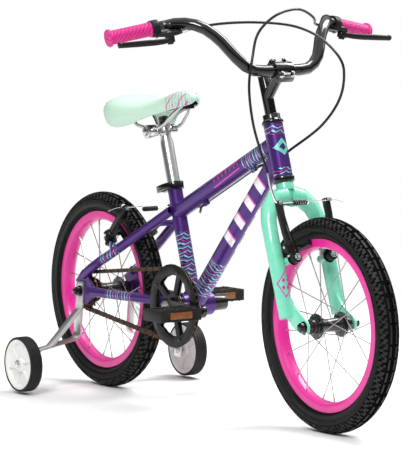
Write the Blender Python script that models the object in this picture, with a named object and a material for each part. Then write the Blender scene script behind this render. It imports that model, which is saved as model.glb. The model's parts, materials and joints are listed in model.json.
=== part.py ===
"""Kids bike with 16 inch wheels and stabilisers.

Metres, +X is the front, +Y is the rider's left, +Z is up. The origin is on the
ground under the rear axle. Run with blender --background --python part.py, or
from Blender's text editor.
"""
import math

import bmesh
import bpy
from mathutils import Matrix, Vector

# Driving dimensions

GAP = 0.0003

# Wheels
WHEELBASE = 0.760
TYRE_RADIUS = 0.1967
TYRE_HALF_WIDTH = 0.021
TYRE_WALL = 0.003
WHEEL_SIDES = 32
RIM_RADIUS = 0.1585
RIM_HALF_WIDTH = 0.0125
RIM_WALL = 0.0026
RIM_DEPTH = 0.0185
RIM_BED_DEPTH = 0.0075
TYRE_BEAD_DEPTH = 0.0053
SPOKE_COUNT = 20
SPOKE_RADIUS = 0.0010
SPOKE_CROSSINGS = 2
HUB_FLANGE_RADIUS = 0.0235
SPOKE_HOLE_RADIUS = 0.0205
HUB_FLANGE_THICKNESS = 0.0030
HUB_BARREL_RADIUS = 0.0125

# Front axle and fork
FRONT_AXLE_RADIUS = 0.0040
FRONT_OLD = 0.100
FRONT_FLANGE_SPACING = 0.0275
FORK_RAKE = 0.050
HEAD_ANGLE = math.radians(71.5)
CROWN_HEIGHT = 0.2803
FORK_LEG_RADIUS = 0.0143
FORK_LEG_SPREAD = 0.0585
FORK_LEG_LEAD = 0.009
FORK_LEG_BOTTOM = 0.027
FORK_DROPOUT_THICKNESS = 0.005
STEERER_RADIUS = 0.0127

# Head tube and headset
HEAD_TUBE_BOTTOM = 0.2915
HEAD_TUBE_LENGTH = 0.102
HEAD_TUBE_RADIUS = 0.01825
HEAD_TUBE_BORE = 0.0155
HEADSET_RADIUS = 0.0205
LOCKNUT_RADIUS = 0.0165
UPPER_HEADSET_HEIGHT = 0.0185

# Frame
BB_X = 0.321
BB_Z = 0.194
BB_SHELL_RADIUS = 0.023
BB_SHELL_BORE = 0.0186
BB_SHELL_WIDTH = 0.068
SEAT_ANGLE = math.radians(73.0)
SEAT_TUBE_RADIUS = 0.0143
SEAT_TUBE_LENGTH = 0.2425
TOP_TUBE_RADIUS = 0.0159
TOP_TUBE_HEAD_HEIGHT = 0.067
TOP_TUBE_SEAT_HEIGHT = 0.1836
DOWN_TUBE_RADIUS = 0.01745
DOWN_TUBE_HEAD_HEIGHT = 0.041
FRAME_WALL = 0.0016
STAY_RADIUS = 0.0095
STAY_WALL = 0.0014
SEATSTAY_TOP_SPREAD = 0.018
CHAINSTAY_FRONT_SPREAD = 0.020
BRIDGE_RADIUS = 0.006
DROPOUT_THICKNESS = 0.005

# Rear axle
REAR_AXLE_RADIUS = 0.00475
REAR_OLD = 0.110
REAR_FLANGE_LEFT = 0.0285
REAR_FLANGE_RIGHT = 0.0265
AXLE_END = 0.0785
AXLE_NUT_RADIUS = 0.0085
AXLE_NUT_HEIGHT = 0.0075

# Drive
CHAIN_PITCH = 0.0127
CHAINRING_TEETH = 36
SPROCKET_TEETH = 18
CHAINLINE = 0.044
GEAR_HALF_THICKNESS = 0.0014
TOOTH_ABOVE_PITCH = 0.0021
TOOTH_BELOW_PITCH = 0.0040
CHAIN_HALF_WIDTH = 0.0042
CHAIN_SLOT_HALF_WIDTH = 0.0019
CHAIN_WEB_HEIGHT = 0.0037
CRANK_LENGTH = 0.110
CRANK_INNER_FACE = 0.0535
CRANK_THICKNESS = 0.013
CRANK_BOSS_RADIUS = 0.0160
SPINDLE_RADIUS = 0.0085
SPINDLE_HALF_LENGTH = 0.0655
BB_FLANGE_RADIUS = 0.0205
BB_FLANGE_THICKNESS = 0.0027
FREEWHEEL_RADIUS = 0.0290
FREEWHEEL_THREAD_RADIUS = 0.0160
GUARD_RADIUS = 0.081
GUARD_THICKNESS = 0.0025
SPIDER_ARMS = 5
PEDAL_INNER_FACE = 0.079
PEDAL_LENGTH = 0.090
PEDAL_WIDTH = 0.064
PEDAL_HEIGHT = 0.022
PEDAL_SPINDLE_RADIUS = 0.0045

# Stem and handlebar
QUILL_RADIUS = 0.0111
QUILL_TOP = 0.490
QUILL_BOTTOM = 0.345
STEM_REACH = 0.0583
STEM_HEIGHT = 0.480
STEM_TUBE_RADIUS = 0.0105
STEM_TUBE_START = 0.447
BAR_RADIUS = 0.0111
CLAMP_RADIUS = 0.0165
CLAMP_LENGTH = 0.038
CLAMP_SPLIT = 0.0012
GRIP_START_SIDE = 0.2105
GRIP_LENGTH = 0.0870
GRIP_RADIUS = 0.0132
GRIP_FLANGE_RADIUS = 0.0165
GRIP_END_THICKNESS = 0.003

# Brakes
BRAKE_PIVOT_SPREAD = 0.040
BRAKE_ARM_LENGTH = 0.102
BRAKE_ARM_THICKNESS = 0.010
BRAKE_BOSS_LENGTH = 0.0155
BRAKE_BOSS_RADIUS = 0.0105
BRAKE_STUD_RADIUS = 0.0040
BRAKE_BOLT_RADIUS = 0.0065
BRAKE_BOLT_HEIGHT = 0.0035
BRAKE_POST_RADIUS = 0.0075
PAD_GAP = 0.0015
PAD_TRACK_RADIUS = 0.1515
PAD_LENGTH = 0.046
PAD_HEIGHT = 0.009
PAD_THICKNESS = 0.009
FRONT_PIVOT_HEIGHT = 0.1305
FRONT_POST_LENGTH = 0.0275
REAR_PIVOT_HEIGHT = 0.128
REAR_POST_LENGTH = 0.0250
REAR_ARM_ANGLE = math.radians(39.0)
NOODLE_RADIUS = 0.0026
BOOT_RADIUS = 0.0045
CABLE_RADIUS = 0.0025
CABLE_LEAD = 0.012
WIRE_RADIUS = 0.0009
CABLE_STOP_RADIUS = 0.0045
CABLE_STOP_LENGTH = 0.012
CABLE_STOPS_FROM_SEAT_TUBE = (0.098, 0.275)

# Brake levers, placed from the inner end of the grip
LEVER_CLAMP_WIDTH = 0.014
LEVER_CLAMP_RADIUS = 0.0160
LEVER_PIVOT_FORWARD = 0.038
LEVER_PIVOT_SIDE = -0.020
LEVER_PIVOT_DROP = -0.0205
LEVER_PIN_RADIUS = 0.003
LEVER_BOSS_RADIUS = 0.009
LEVER_BOSS_HEIGHT = 0.011
ADJUSTER_RADIUS = 0.0045
ADJUSTER_LENGTH = 0.026

# Saddle and seatpost, heights along the seat tube from the bottom bracket
POST_RADIUS = 0.0127
POST_WALL = 0.0017
POST_NECK_RADIUS = 0.0105
POST_BOTTOM = 0.128
POST_SHOULDER = 0.322
POST_NECK_START = 0.334
POST_TOP = 0.374
SADDLE_BOLT_HEIGHT = 0.349
SADDLE_BOLT_BEHIND = 0.0165
SADDLE_BOLT_RADIUS = 0.004
JAW_RADIUS = 0.014
JAW_INNER_FACE = 0.0125
JAW_OUTER_FACE = 0.0315
RAIL_RADIUS = 0.0035
RAIL_SPREAD = 0.022
RAIL_ABOVE_BOLT = 0.009
SEAT_CLAMP_HEIGHT = 0.0145
SEAT_CLAMP_RADIUS = 0.0185
COVER_THICKNESS = 0.020
BASE_THICKNESS = 0.003

# Stabilisers
STABILISER_RADIUS = 0.055
STABILISER_WIDTH = 0.026
STABILISER_TREAD = 0.0045
STABILISER_SIDES = 20
STABILISER_X = -0.0035
STABILISER_Z = 0.058
STABILISER_OUTER_FACE = 0.2085
STRAP_WIDTH = 0.025
STRAP_THICKNESS = 0.004
STABILISER_BOLT_RADIUS = 0.004

# Worked out from the driving dimensions

AXLE_HEIGHT = TYRE_RADIUS * math.cos(math.pi / WHEEL_SIDES)
RIM_INNER_RADIUS = RIM_RADIUS - RIM_DEPTH
RIM_BED_RADIUS = RIM_RADIUS - RIM_BED_DEPTH
BEAD_RADIUS = RIM_RADIUS - TYRE_BEAD_DEPTH
BEAD_HALF_WIDTH = RIM_HALF_WIDTH - RIM_WALL - GAP
FRONT_DROPOUT_OUTER = FRONT_OLD / 2 + FORK_DROPOUT_THICKNESS
REAR_DROPOUT_OUTER = REAR_OLD / 2 + DROPOUT_THICKNESS
CHAINRING_PITCH_RADIUS = CHAIN_PITCH / 2 / math.sin(math.pi / CHAINRING_TEETH)
SPROCKET_PITCH_RADIUS = CHAIN_PITCH / 2 / math.sin(math.pi / SPROCKET_TEETH)
HEAD_TUBE_TOP = HEAD_TUBE_BOTTOM + HEAD_TUBE_LENGTH
STEERER_TOP = HEAD_TUBE_TOP + UPPER_HEADSET_HEIGHT
PEDAL_OUTER_FACE = PEDAL_INNER_FACE + PEDAL_LENGTH

# Clear the scene before anything is made
for old in list(bpy.data.objects):
    bpy.data.objects.remove(old)

# Colours read from the photograph
COLOURS = {
    "purple_paint": ((0.105, 0.045, 0.27), 0.30, 0.35),
    "mint_paint": ((0.33, 0.87, 0.70), 0.35, 0.0),
    "pink_paint": ((0.90, 0.04, 0.40), 0.35, 0.0),
    "pink_rubber": ((0.80, 0.03, 0.32), 0.60, 0.0),
    "tyre_rubber": ((0.022, 0.022, 0.021), 0.80, 0.0),
    "black_paint": ((0.016, 0.016, 0.016), 0.35, 0.0),
    "black_plastic": ((0.022, 0.022, 0.023), 0.50, 0.0),
    "polished_steel": ((0.72, 0.72, 0.73), 0.20, 1.0),
    "zinc_steel": ((0.62, 0.62, 0.60), 0.35, 1.0),
    "chain_steel": ((0.16, 0.11, 0.07), 0.45, 0.9),
    "saddle_vinyl": ((0.60, 0.88, 0.76), 0.50, 0.0),
    "white_plastic": ((0.82, 0.82, 0.80), 0.45, 0.0),
    "cable_housing": ((0.012, 0.012, 0.012), 0.45, 0.0),
}


# Helpers

def add_material(name, colour, roughness, metallic):
    """Return a Principled material for one piece."""
    made = bpy.data.materials.new(name)
    made.use_nodes = True
    shader = made.node_tree.nodes["Principled BSDF"]
    shader.inputs["Base Color"].default_value = (*colour, 1.0)
    shader.inputs["Roughness"].default_value = roughness
    shader.inputs["Metallic"].default_value = metallic
    made.diffuse_color = (*colour, 1.0)
    return made


class Frame:
    """An empty that carries pieces, with its place in the world."""

    def __init__(self, name, world, parent=None):
        self.world = world
        self.empty = bpy.data.objects.new(name, None)
        self.empty.empty_display_size = 0.03
        bpy.context.collection.objects.link(self.empty)
        if parent is None:
            self.empty.matrix_basis = world
        else:
            self.empty.parent = parent.empty
            self.empty.matrix_basis = parent.world.inverted() @ world

    def local(self, point):
        """A world point in this frame's own coordinates."""
        return self.world.inverted() @ Vector(point)


def link_object(name, data, frame):
    """Add an object that sits at its frame's origin."""
    made = bpy.data.objects.new(name, data)
    bpy.context.collection.objects.link(made)
    made.parent = frame.empty
    return made


def mesh_from(bm, name):
    """Turn a bmesh into a mesh with its faces pointing out."""
    bmesh.ops.remove_doubles(bm, verts=bm.verts, dist=1e-6)
    bmesh.ops.recalc_face_normals(bm, faces=bm.faces)
    mesh = bpy.data.meshes.new(name)
    bm.to_mesh(mesh)
    bm.free()
    return mesh


def add_piece(name, frame, finish, solids, cuts=(), sharp=40):
    """Make one piece: the first solid, joined with the others, less the cuts."""
    piece = link_object(name, mesh_from(solids[0], name), frame)
    piece.data.materials.append(add_material(name, *COLOURS[finish]))
    tools = [("UNION", bm) for bm in solids[1:]]
    tools += [("DIFFERENCE", bm) for bm in cuts]
    for number, (operation, bm) in enumerate(tools):
        guide = link_object(f"guide_{name}_{number}", mesh_from(bm, "guide"), frame)
        guide.hide_render = True
        guide.display_type = "WIRE"
        modifier = piece.modifiers.new(f"{operation.lower()}_{number}", "BOOLEAN")
        modifier.operation = operation
        modifier.object = guide
    piece.data.shade_smooth()
    piece.data.set_sharp_from_angle(angle=math.radians(sharp))
    return piece


def add_union(piece, bm):
    """Join one more solid to a finished piece, after its cuts."""
    guide = bpy.data.objects.new(f"guide_{piece.name}_last", mesh_from(bm, "guide"))
    bpy.context.collection.objects.link(guide)
    guide.parent = piece.parent
    guide.hide_render = True
    guide.display_type = "WIRE"
    modifier = piece.modifiers.new("union_last", "BOOLEAN")
    modifier.operation = "UNION"
    modifier.object = guide


def turned(profile, sides, axis_offset=0.5):
    """A body turned about Z from a closed outline of (radius, height)."""
    bm = bmesh.new()
    rows = []
    for step in range(sides):
        angle = 2 * math.pi * (step + axis_offset) / sides
        rows.append([
            bm.verts.new((radius * math.cos(angle), radius * math.sin(angle), height))
            for radius, height in profile
        ])
    for step in range(sides):
        here = rows[step]
        after = rows[(step + 1) % sides]
        for index in range(len(profile)):
            following = (index + 1) % len(profile)
            if profile[index][0] == 0 and profile[following][0] == 0:
                continue
            corners = [here[index], here[following], after[following], after[index]]
            bm.faces.new(corners)
    bmesh.ops.remove_doubles(bm, verts=bm.verts, dist=1e-6)
    return bm


def moved(bm, matrix):
    """Carry a bmesh to another place."""
    bmesh.ops.transform(bm, matrix=matrix, verts=bm.verts)
    return bm


def place_on_line(start, end):
    """The matrix that lays the Z axis from start towards end."""
    start = Vector(start)
    direction = Vector(end) - start
    turn = direction.to_track_quat("Z", "Y").to_matrix().to_4x4()
    return Matrix.Translation(start) @ turn


def cylinder(start, end, radius, sides=12):
    """A round bar between two points."""
    length = (Vector(end) - Vector(start)).length
    corners = [2 * math.pi * (step + 0.5) / sides for step in range(sides)]
    outline = [(radius * math.cos(angle), radius * math.sin(angle)) for angle in corners]
    return moved(plate(outline, 0, length), place_on_line(start, end))


def turning_bore(radius, sides):
    """The radius of a many-sided hole that a pin of this radius can turn in."""
    return (radius + GAP) / math.cos(math.pi / sides)


def pipe(start, end, radius, bore, sides=12):
    """A round tube between two points, open at both ends."""
    length = (Vector(end) - Vector(start)).length
    outline = [(bore, 0), (radius, 0), (radius, length), (bore, length)]
    return moved(turned(outline, sides), place_on_line(start, end))


def block(centre, size, turn=None):
    """A box with its size along X, Y and Z."""
    bm = bmesh.new()
    bmesh.ops.create_cube(bm, size=1.0)
    matrix = Matrix.Diagonal((*size, 1.0))
    if turn is not None:
        matrix = turn.to_4x4() @ matrix
    return moved(bm, Matrix.Translation(Vector(centre)) @ matrix)


def plate(outline, bottom, top):
    """A flat outline in X and Y, made thick along Z."""
    bm = bmesh.new()
    face = bm.faces.new([bm.verts.new((x, y, bottom)) for x, y in outline])
    grown = bmesh.ops.extrude_face_region(bm, geom=[face])
    risen = [item for item in grown["geom"] if isinstance(item, bmesh.types.BMVert)]
    bmesh.ops.translate(bm, verts=risen, vec=(0, 0, top - bottom))
    return bm


def side_plate(outline, inner, outer):
    """A flat outline in X and Z, made thick along Y."""
    return moved(plate([(x, -z) for x, z in outline], inner, outer),
                 Matrix.Rotation(math.radians(-90), 4, "X"))


def smooth_points(points, spacing):
    """Even points on a smooth curve through the given ones."""
    knots = [Vector(point) for point in points]
    knots = [2 * knots[0] - knots[1]] + knots + [2 * knots[-1] - knots[-2]]
    fine = []
    for index in range(1, len(knots) - 2):
        a, b, c, d = knots[index - 1:index + 3]
        for step in range(20):
            t = step / 20
            fine.append(0.5 * (2 * b + (c - a) * t + (2 * a - 5 * b + 4 * c - d) * t * t
                               + (3 * b - a - 3 * c + d) * t ** 3))
    fine.append(knots[-2])
    lengths = [0.0]
    for before, after in zip(fine, fine[1:]):
        lengths.append(lengths[-1] + (after - before).length)
    count = max(2, round(lengths[-1] / spacing))
    even = []
    index = 0
    for step in range(count + 1):
        wanted = lengths[-1] * step / count
        while index < len(fine) - 2 and lengths[index + 1] < wanted:
            index += 1
        share = (wanted - lengths[index]) / (lengths[index + 1] - lengths[index])
        even.append(fine[index].lerp(fine[index + 1], min(1.0, share)))
    return even


def swept(points, radii, sides=10, flatten=1.0, across=(0, 1, 0)):
    """A bar of changing radius along points; flatten squeezes it one way."""
    bm = bmesh.new()
    rows = []
    for index, point in enumerate(points):
        before = points[max(0, index - 1)]
        after = points[min(len(points) - 1, index + 1)]
        along = (Vector(after) - Vector(before)).normalized()
        side = Vector(across) - along * along.dot(Vector(across))
        side.normalize()
        up = along.cross(side)
        radius = radii if isinstance(radii, float) else radii[index]
        row = []
        for step in range(sides):
            angle = 2 * math.pi * (step + 0.5) / sides
            offset = side * math.cos(angle) * radius + up * math.sin(angle) * radius * flatten
            row.append(bm.verts.new(Vector(point) + offset))
        rows.append(row)
    for here, after in zip(rows, rows[1:]):
        for step in range(sides):
            following = (step + 1) % sides
            bm.faces.new([here[step], here[following], after[following], after[step]])
    bm.faces.new(rows[0])
    bm.faces.new(rows[-1])
    return bm


def strap(points, width, thickness):
    """A flat strip bent in Y and Z, with its width along X."""
    bm = bmesh.new()
    rows = []
    for index, point in enumerate(points):
        before = Vector(points[max(0, index - 1)])
        after = Vector(points[min(len(points) - 1, index + 1)])
        along = after - before
        along.x = 0
        along.normalize()
        normal = Vector((0, -along.z, along.y)) * thickness / 2
        wide = Vector((width / 2, 0, 0))
        centre = Vector(point)
        corners = (centre - wide - normal, centre + wide - normal,
                   centre + wide + normal, centre - wide + normal)
        rows.append([bm.verts.new(corner) for corner in corners])
    for here, after in zip(rows, rows[1:]):
        for step in range(4):
            following = (step + 1) % 4
            bm.faces.new([here[step], here[following], after[following], after[step]])
    bm.faces.new(rows[0])
    bm.faces.new(rows[-1])
    return bm


def mirrored(points, side):
    """Points given for the left side, carried to either side."""
    return [(x, y * side, z) for x, y, z in points]


def add_cable(name, frame, route, bare=()):
    """A brake cable along its route: housing, led in by a length of bare wire."""
    curve = bpy.data.curves.new(name, "CURVE")
    curve.dimensions = "3D"
    curve.bevel_depth = CABLE_RADIUS
    curve.bevel_resolution = 2
    curve.use_fill_caps = True
    housing = smooth_points(route, 6 * CABLE_RADIUS)
    points = [(point, WIRE_RADIUS / CABLE_RADIUS) for point in bare]
    points += [(point, 1.0) for point in housing]
    spline = curve.splines.new("POLY")
    spline.points.add(len(points) - 1)
    for spot, (point, thickness) in zip(spline.points, points):
        spot.co = (*frame.local(point), 1.0)
        spot.radius = thickness
    made = link_object(name, curve, frame)
    made.data.materials.append(add_material(name, *COLOURS["cable_housing"]))
    return made


def gear_outline(teeth, pitch_radius):
    """The toothed edge of a chainring or sprocket."""
    root = pitch_radius - TOOTH_BELOW_PITCH
    tip = pitch_radius + TOOTH_ABOVE_PITCH
    outline = []
    for tooth in range(teeth):
        for share, radius in ((0.14, root), (0.50, tip), (0.86, root)):
            angle = 2 * math.pi * (tooth + share) / teeth
            outline.append((radius * math.cos(angle), radius * math.sin(angle)))
    return outline


def window_outline(inner, outer, arm_half_width, number, steps=3):
    """One opening between two arms of a spider, with a curved outer edge."""
    pitch = 2 * math.pi / SPIDER_ARMS
    start = number * pitch
    outline = []
    for radius, direction in ((inner, 1), (outer, -1)):
        inset = math.asin(arm_half_width / radius)
        for step in range(steps + 1):
            share = step / steps
            if direction < 0:
                share = 1 - share
            angle = start + inset + (pitch - 2 * inset) * share
            outline.append((radius * math.cos(angle), radius * math.sin(angle)))
    return outline


# Frames of reference, each empty on the axis of what it carries

SIDEWAYS = Matrix.Rotation(math.radians(-90), 4, "X")
BIKE = Frame("bike", Matrix.Identity(4))

rear_axle_place = Vector((0, 0, AXLE_HEIGHT))
front_axle_place = Vector((WHEELBASE, 0, AXLE_HEIGHT))
lean = math.pi / 2 - HEAD_ANGLE
steering_turn = Matrix.Rotation(-lean, 4, "Y")
steering_foot = front_axle_place - steering_turn.to_3x3() @ Vector((FORK_RAKE, 0, 0))
STEERING = Frame("steering_axis", Matrix.Translation(steering_foot) @ steering_turn, BIKE)
FRONT_WHEEL = Frame("front_wheel_axis", Matrix.Translation(front_axle_place) @ SIDEWAYS,
                    STEERING)
REAR_WHEEL = Frame("rear_wheel_axis", Matrix.Translation(rear_axle_place) @ SIDEWAYS, BIKE)

crank_place = Vector((BB_X, 0, BB_Z))
CRANK = Frame("crank_axis", Matrix.Translation(crank_place), BIKE)
seat_turn = Matrix.Rotation(SEAT_ANGLE - math.pi / 2, 4, "Y")
SEAT = Frame("seat_tube_axis", Matrix.Translation(crank_place) @ seat_turn, BIKE)
SADDLE = Frame("saddle_bolt_axis",
               Matrix.Translation(SEAT.world @ Vector((-SADDLE_BOLT_BEHIND, 0, SADDLE_BOLT_HEIGHT))),
               SEAT)

bar_centre = STEERING.world @ Vector((STEM_REACH, 0, STEM_HEIGHT))
BAR = Frame("handlebar_centre", Matrix.Translation(bar_centre), STEERING)


def on_steering(height):
    """A point on the steering axis, in the world."""
    return STEERING.world @ Vector((0, 0, height))


def on_seat_tube(height):
    """A point on the seat tube's axis, in the world."""
    return SEAT.world @ Vector((0, 0, height))


def stop_point(from_seat_tube, lengths):
    """A point on the line of the cable stops, lengths of a stop from its middle."""
    rear = on_seat_tube(TOP_TUBE_SEAT_HEIGHT)
    front = on_steering(HEAD_TUBE_BOTTOM + TOP_TUBE_HEAD_HEIGHT)
    along = (front - rear).normalized()
    below = Vector((along.z, 0, -along.x)) * (TOP_TUBE_RADIUS + 0.0036)
    return rear + below + along * (from_seat_tube + lengths * CABLE_STOP_LENGTH)


# Frame tubes

def build_main_tubes():
    """Head, top, down and seat tubes and the bottom bracket shell."""
    head_low = on_steering(HEAD_TUBE_BOTTOM)
    head_high = on_steering(HEAD_TUBE_TOP)
    add_piece("head_tube", BIKE, "purple_paint",
              [pipe(head_low, head_high, HEAD_TUBE_RADIUS, HEAD_TUBE_BORE, 16)])
    beyond = (head_high - head_low) * 0.4
    head_cut = (head_low - beyond, head_high + beyond, HEAD_TUBE_RADIUS + GAP, 16)

    seat_top = on_seat_tube(SEAT_TUBE_LENGTH)
    shell_left = crank_place + Vector((0, BB_SHELL_WIDTH / 2, 0))
    shell_right = crank_place - Vector((0, BB_SHELL_WIDTH / 2, 0))
    shell_cut = (shell_right, shell_left, BB_SHELL_RADIUS + GAP, 16)
    add_piece("bottom_bracket_shell", BIKE, "purple_paint",
              [pipe(shell_right, shell_left, BB_SHELL_RADIUS, BB_SHELL_BORE, 16)])
    add_piece("seat_tube", BIKE, "purple_paint",
              [pipe(crank_place, seat_top, SEAT_TUBE_RADIUS, POST_RADIUS + GAP, 16)],
              [cylinder(*shell_cut)])
    seat_cut = (crank_place, seat_top, SEAT_TUBE_RADIUS + GAP, 16)

    top_front = on_steering(HEAD_TUBE_BOTTOM + TOP_TUBE_HEAD_HEIGHT)
    top_rear = on_seat_tube(TOP_TUBE_SEAT_HEIGHT)
    stops = [cylinder(stop_point(at, -0.5), stop_point(at, 0.5), CABLE_STOP_RADIUS, 8)
             for at in CABLE_STOPS_FROM_SEAT_TUBE]
    stop_bores = [cylinder(stop_point(at, -1), stop_point(at, 1), WIRE_RADIUS + GAP, 6)
                  for at in CABLE_STOPS_FROM_SEAT_TUBE]
    add_piece("top_tube", BIKE, "purple_paint",
              [pipe(top_rear, top_front, TOP_TUBE_RADIUS, TOP_TUBE_RADIUS - FRAME_WALL, 16)]
              + stops,
              [cylinder(*head_cut), cylinder(*seat_cut)] + stop_bores)
    down_front = on_steering(HEAD_TUBE_BOTTOM + DOWN_TUBE_HEAD_HEIGHT)
    top_cut = (top_rear, top_front, TOP_TUBE_RADIUS + GAP, 16)
    add_piece("down_tube", BIKE, "purple_paint",
              [pipe(crank_place, down_front, DOWN_TUBE_RADIUS, DOWN_TUBE_RADIUS - FRAME_WALL, 16)],
              [cylinder(*head_cut), cylinder(*shell_cut), cylinder(*seat_cut), cylinder(*top_cut)])


DROPOUT_OUTLINE = [
    (-0.022, 0.020), (0.003, 0.043), (0.022, 0.036), (0.036, 0.015), (0.050, 0.009),
    (0.050, -0.007), (0.036, -0.013), (0.022, -0.024), (-0.006, -0.027), (-0.014, -0.012),
    (-0.014, 0.010),
]
SEATSTAY_START = (0.012, 0.0345)
SEATSTAY_BULGES = ((0.0, 0.0006), (0.17, 0.0077), (0.33, 0.0042))
CHAINSTAY_START = (0.0415, 0.001)


def build_rear_triangle():
    """Stays, dropouts and the bridge, mirrored about the middle of the bike."""
    stay_offset = (REAR_OLD + DROPOUT_THICKNESS) / 2
    seat_join = on_seat_tube(TOP_TUBE_SEAT_HEIGHT + 0.003)
    seat_cut = (crank_place, on_seat_tube(SEAT_TUBE_LENGTH), SEAT_TUBE_RADIUS + GAP, 16)
    top_cut = (on_seat_tube(TOP_TUBE_SEAT_HEIGHT),
               on_steering(HEAD_TUBE_BOTTOM + TOP_TUBE_HEAD_HEIGHT), TOP_TUBE_RADIUS + GAP, 16)
    half_shell = Vector((0, BB_SHELL_WIDTH / 2 + 0.001, 0))
    for label, side in (("right", -1), ("left", 1)):
        inner = side * REAR_OLD / 2
        outer = side * REAR_DROPOUT_OUTER
        outline = [(x, AXLE_HEIGHT + z) for x, z in DROPOUT_OUTLINE]
        chain_start = Vector((CHAINSTAY_START[0], side * stay_offset,
                              AXLE_HEIGHT + CHAINSTAY_START[1]))
        chain_end = Vector((BB_X, side * CHAINSTAY_FRONT_SPREAD, BB_Z + 0.002))
        slot_width = 2 * (REAR_AXLE_RADIUS + GAP)
        add_piece(f"chainstay_{label}", BIKE, "purple_paint",
                  [pipe(chain_start, chain_end, STAY_RADIUS, STAY_RADIUS - STAY_WALL, 10),
                   side_plate(outline, inner, outer)],
                  [cylinder(crank_place - half_shell, crank_place + half_shell,
                            BB_SHELL_RADIUS + GAP, 16),
                   cylinder((0, inner - side * 0.01, AXLE_HEIGHT),
                            (0, outer + side * 0.01, AXLE_HEIGHT), slot_width / 2, 8),
                   block((-0.02, (inner + outer) / 2, AXLE_HEIGHT),
                         (0.04, 0.02, slot_width))])
        stay_low = Vector((SEATSTAY_START[0], side * stay_offset,
                           AXLE_HEIGHT + SEATSTAY_START[1]))
        stay_high = Vector((seat_join.x, side * SEATSTAY_TOP_SPREAD, seat_join.z))
        reach = stay_high - stay_low
        bends = [stay_low + reach * share + Vector((0, side * bulge, 0))
                 for share, bulge in SEATSTAY_BULGES]
        route = smooth_points([bends[0] - reach * 0.015] + bends[1:] + [stay_high], 0.034)
        margin = [(x * 1.012, AXLE_HEIGHT + z * 1.012) for x, z in DROPOUT_OUTLINE]
        plate_cut = side_plate(margin, inner - side * GAP, outer + side * GAP)
        hollow = [route[0] - reach * 0.01] + route[1:-1] + [stay_high + reach * 0.01]
        hollow = swept(hollow, STAY_RADIUS - STAY_WALL, 8, across=(0, 1, 0))
        solids = [swept(route, STAY_RADIUS, 10, across=(0, 1, 0)), rear_brake_post(side)]
        if side > 0:
            bridge_at = stay_low + (stay_high - stay_low) * 0.80
            right_face = Vector((bridge_at.x, -bridge_at.y + STAY_RADIUS + 3 * GAP, bridge_at.z))
            solids.append(cylinder(bridge_at, right_face, BRIDGE_RADIUS, 8))
        add_piece(f"seatstay_{label}", BIKE, "purple_paint", solids,
                  [plate_cut, cylinder(*seat_cut), cylinder(*top_cut), hollow])


# Rear brake frame: Z runs up along the brake arms, X points away from the stays

arm_up = Vector((math.cos(REAR_ARM_ANGLE), 0, math.sin(REAR_ARM_ANGLE)))
arm_out = Vector((-math.sin(REAR_ARM_ANGLE), 0, math.cos(REAR_ARM_ANGLE)))
REAR_BRAKE = Frame(
    "rear_brake_plane",
    Matrix.Translation(rear_axle_place)
    @ Matrix((arm_out, arm_up.cross(arm_out), arm_up)).transposed().to_4x4(), BIKE)
stay_foot = Vector((SEATSTAY_START[0], 0, SEATSTAY_START[1]))
stay_line = on_seat_tube(TOP_TUBE_SEAT_HEIGHT + 0.003) - rear_axle_place - stay_foot
post_share = (REAR_PIVOT_HEIGHT - stay_foot.dot(arm_up)) / stay_line.dot(arm_up)
STAY_OFFSET_FROM_AXLE = (stay_foot + stay_line * post_share).dot(arm_out)
FRONT_BRAKE = Frame("front_brake_plane",
                    Matrix.Translation(front_axle_place) @ steering_turn, STEERING)
LEG_OFFSET_FROM_AXLE = FORK_LEG_LEAD - FORK_RAKE


def brake_post(leg_offset, post_length, pivot_height, side):
    """The boss, stud and bolt that a brake arm turns on, in a brake frame."""
    y = side * BRAKE_PIVOT_SPREAD
    base = leg_offset + post_length
    stud_end = base + BRAKE_BOSS_LENGTH + 2 * GAP
    outline = [
        (0, 0), (BRAKE_POST_RADIUS, 0), (BRAKE_POST_RADIUS, post_length),
        (BRAKE_STUD_RADIUS, post_length), (BRAKE_STUD_RADIUS, stud_end - leg_offset),
        (BRAKE_BOLT_RADIUS, stud_end - leg_offset),
        (BRAKE_BOLT_RADIUS, stud_end - leg_offset + BRAKE_BOLT_HEIGHT),
        (0, stud_end - leg_offset + BRAKE_BOLT_HEIGHT),
    ]
    start = (leg_offset, y, pivot_height)
    return moved(turned(outline, 8), place_on_line(start, (leg_offset + 1, y, pivot_height)))


def rear_brake_post(side):
    """The rear post in the bike's own frame; that brake frame's Y is reversed."""
    post = brake_post(STAY_OFFSET_FROM_AXLE, REAR_POST_LENGTH, REAR_PIVOT_HEIGHT, -side)
    return moved(post, REAR_BRAKE.world)


# Fork and headset

FORK_LEG_ROUTE = [
    (0.0, 0.006, 0.256), (0.0005, 0.026, 0.2530), (0.002, 0.0435, 0.238), (0.005, 0.0545, 0.212),
    (0.0075, 0.0575, 0.175), (FORK_LEG_LEAD, FORK_LEG_SPREAD, 0.130),
]
FORK_LEG_SWELL = [0.0200, 0.0180, 0.0160, 0.0148]
FORK_DROPOUT_OUTLINE = [
    (FORK_RAKE - 0.006, -0.0135), (FORK_RAKE + 0.008, -0.0120), (FORK_RAKE + 0.0135, -0.001),
    (FORK_RAKE + 0.009, 0.011), (0.033, 0.040), (0.016, 0.074), (0.002, 0.074),
    (0.000, 0.034), (0.020, 0.004),
]


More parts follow.
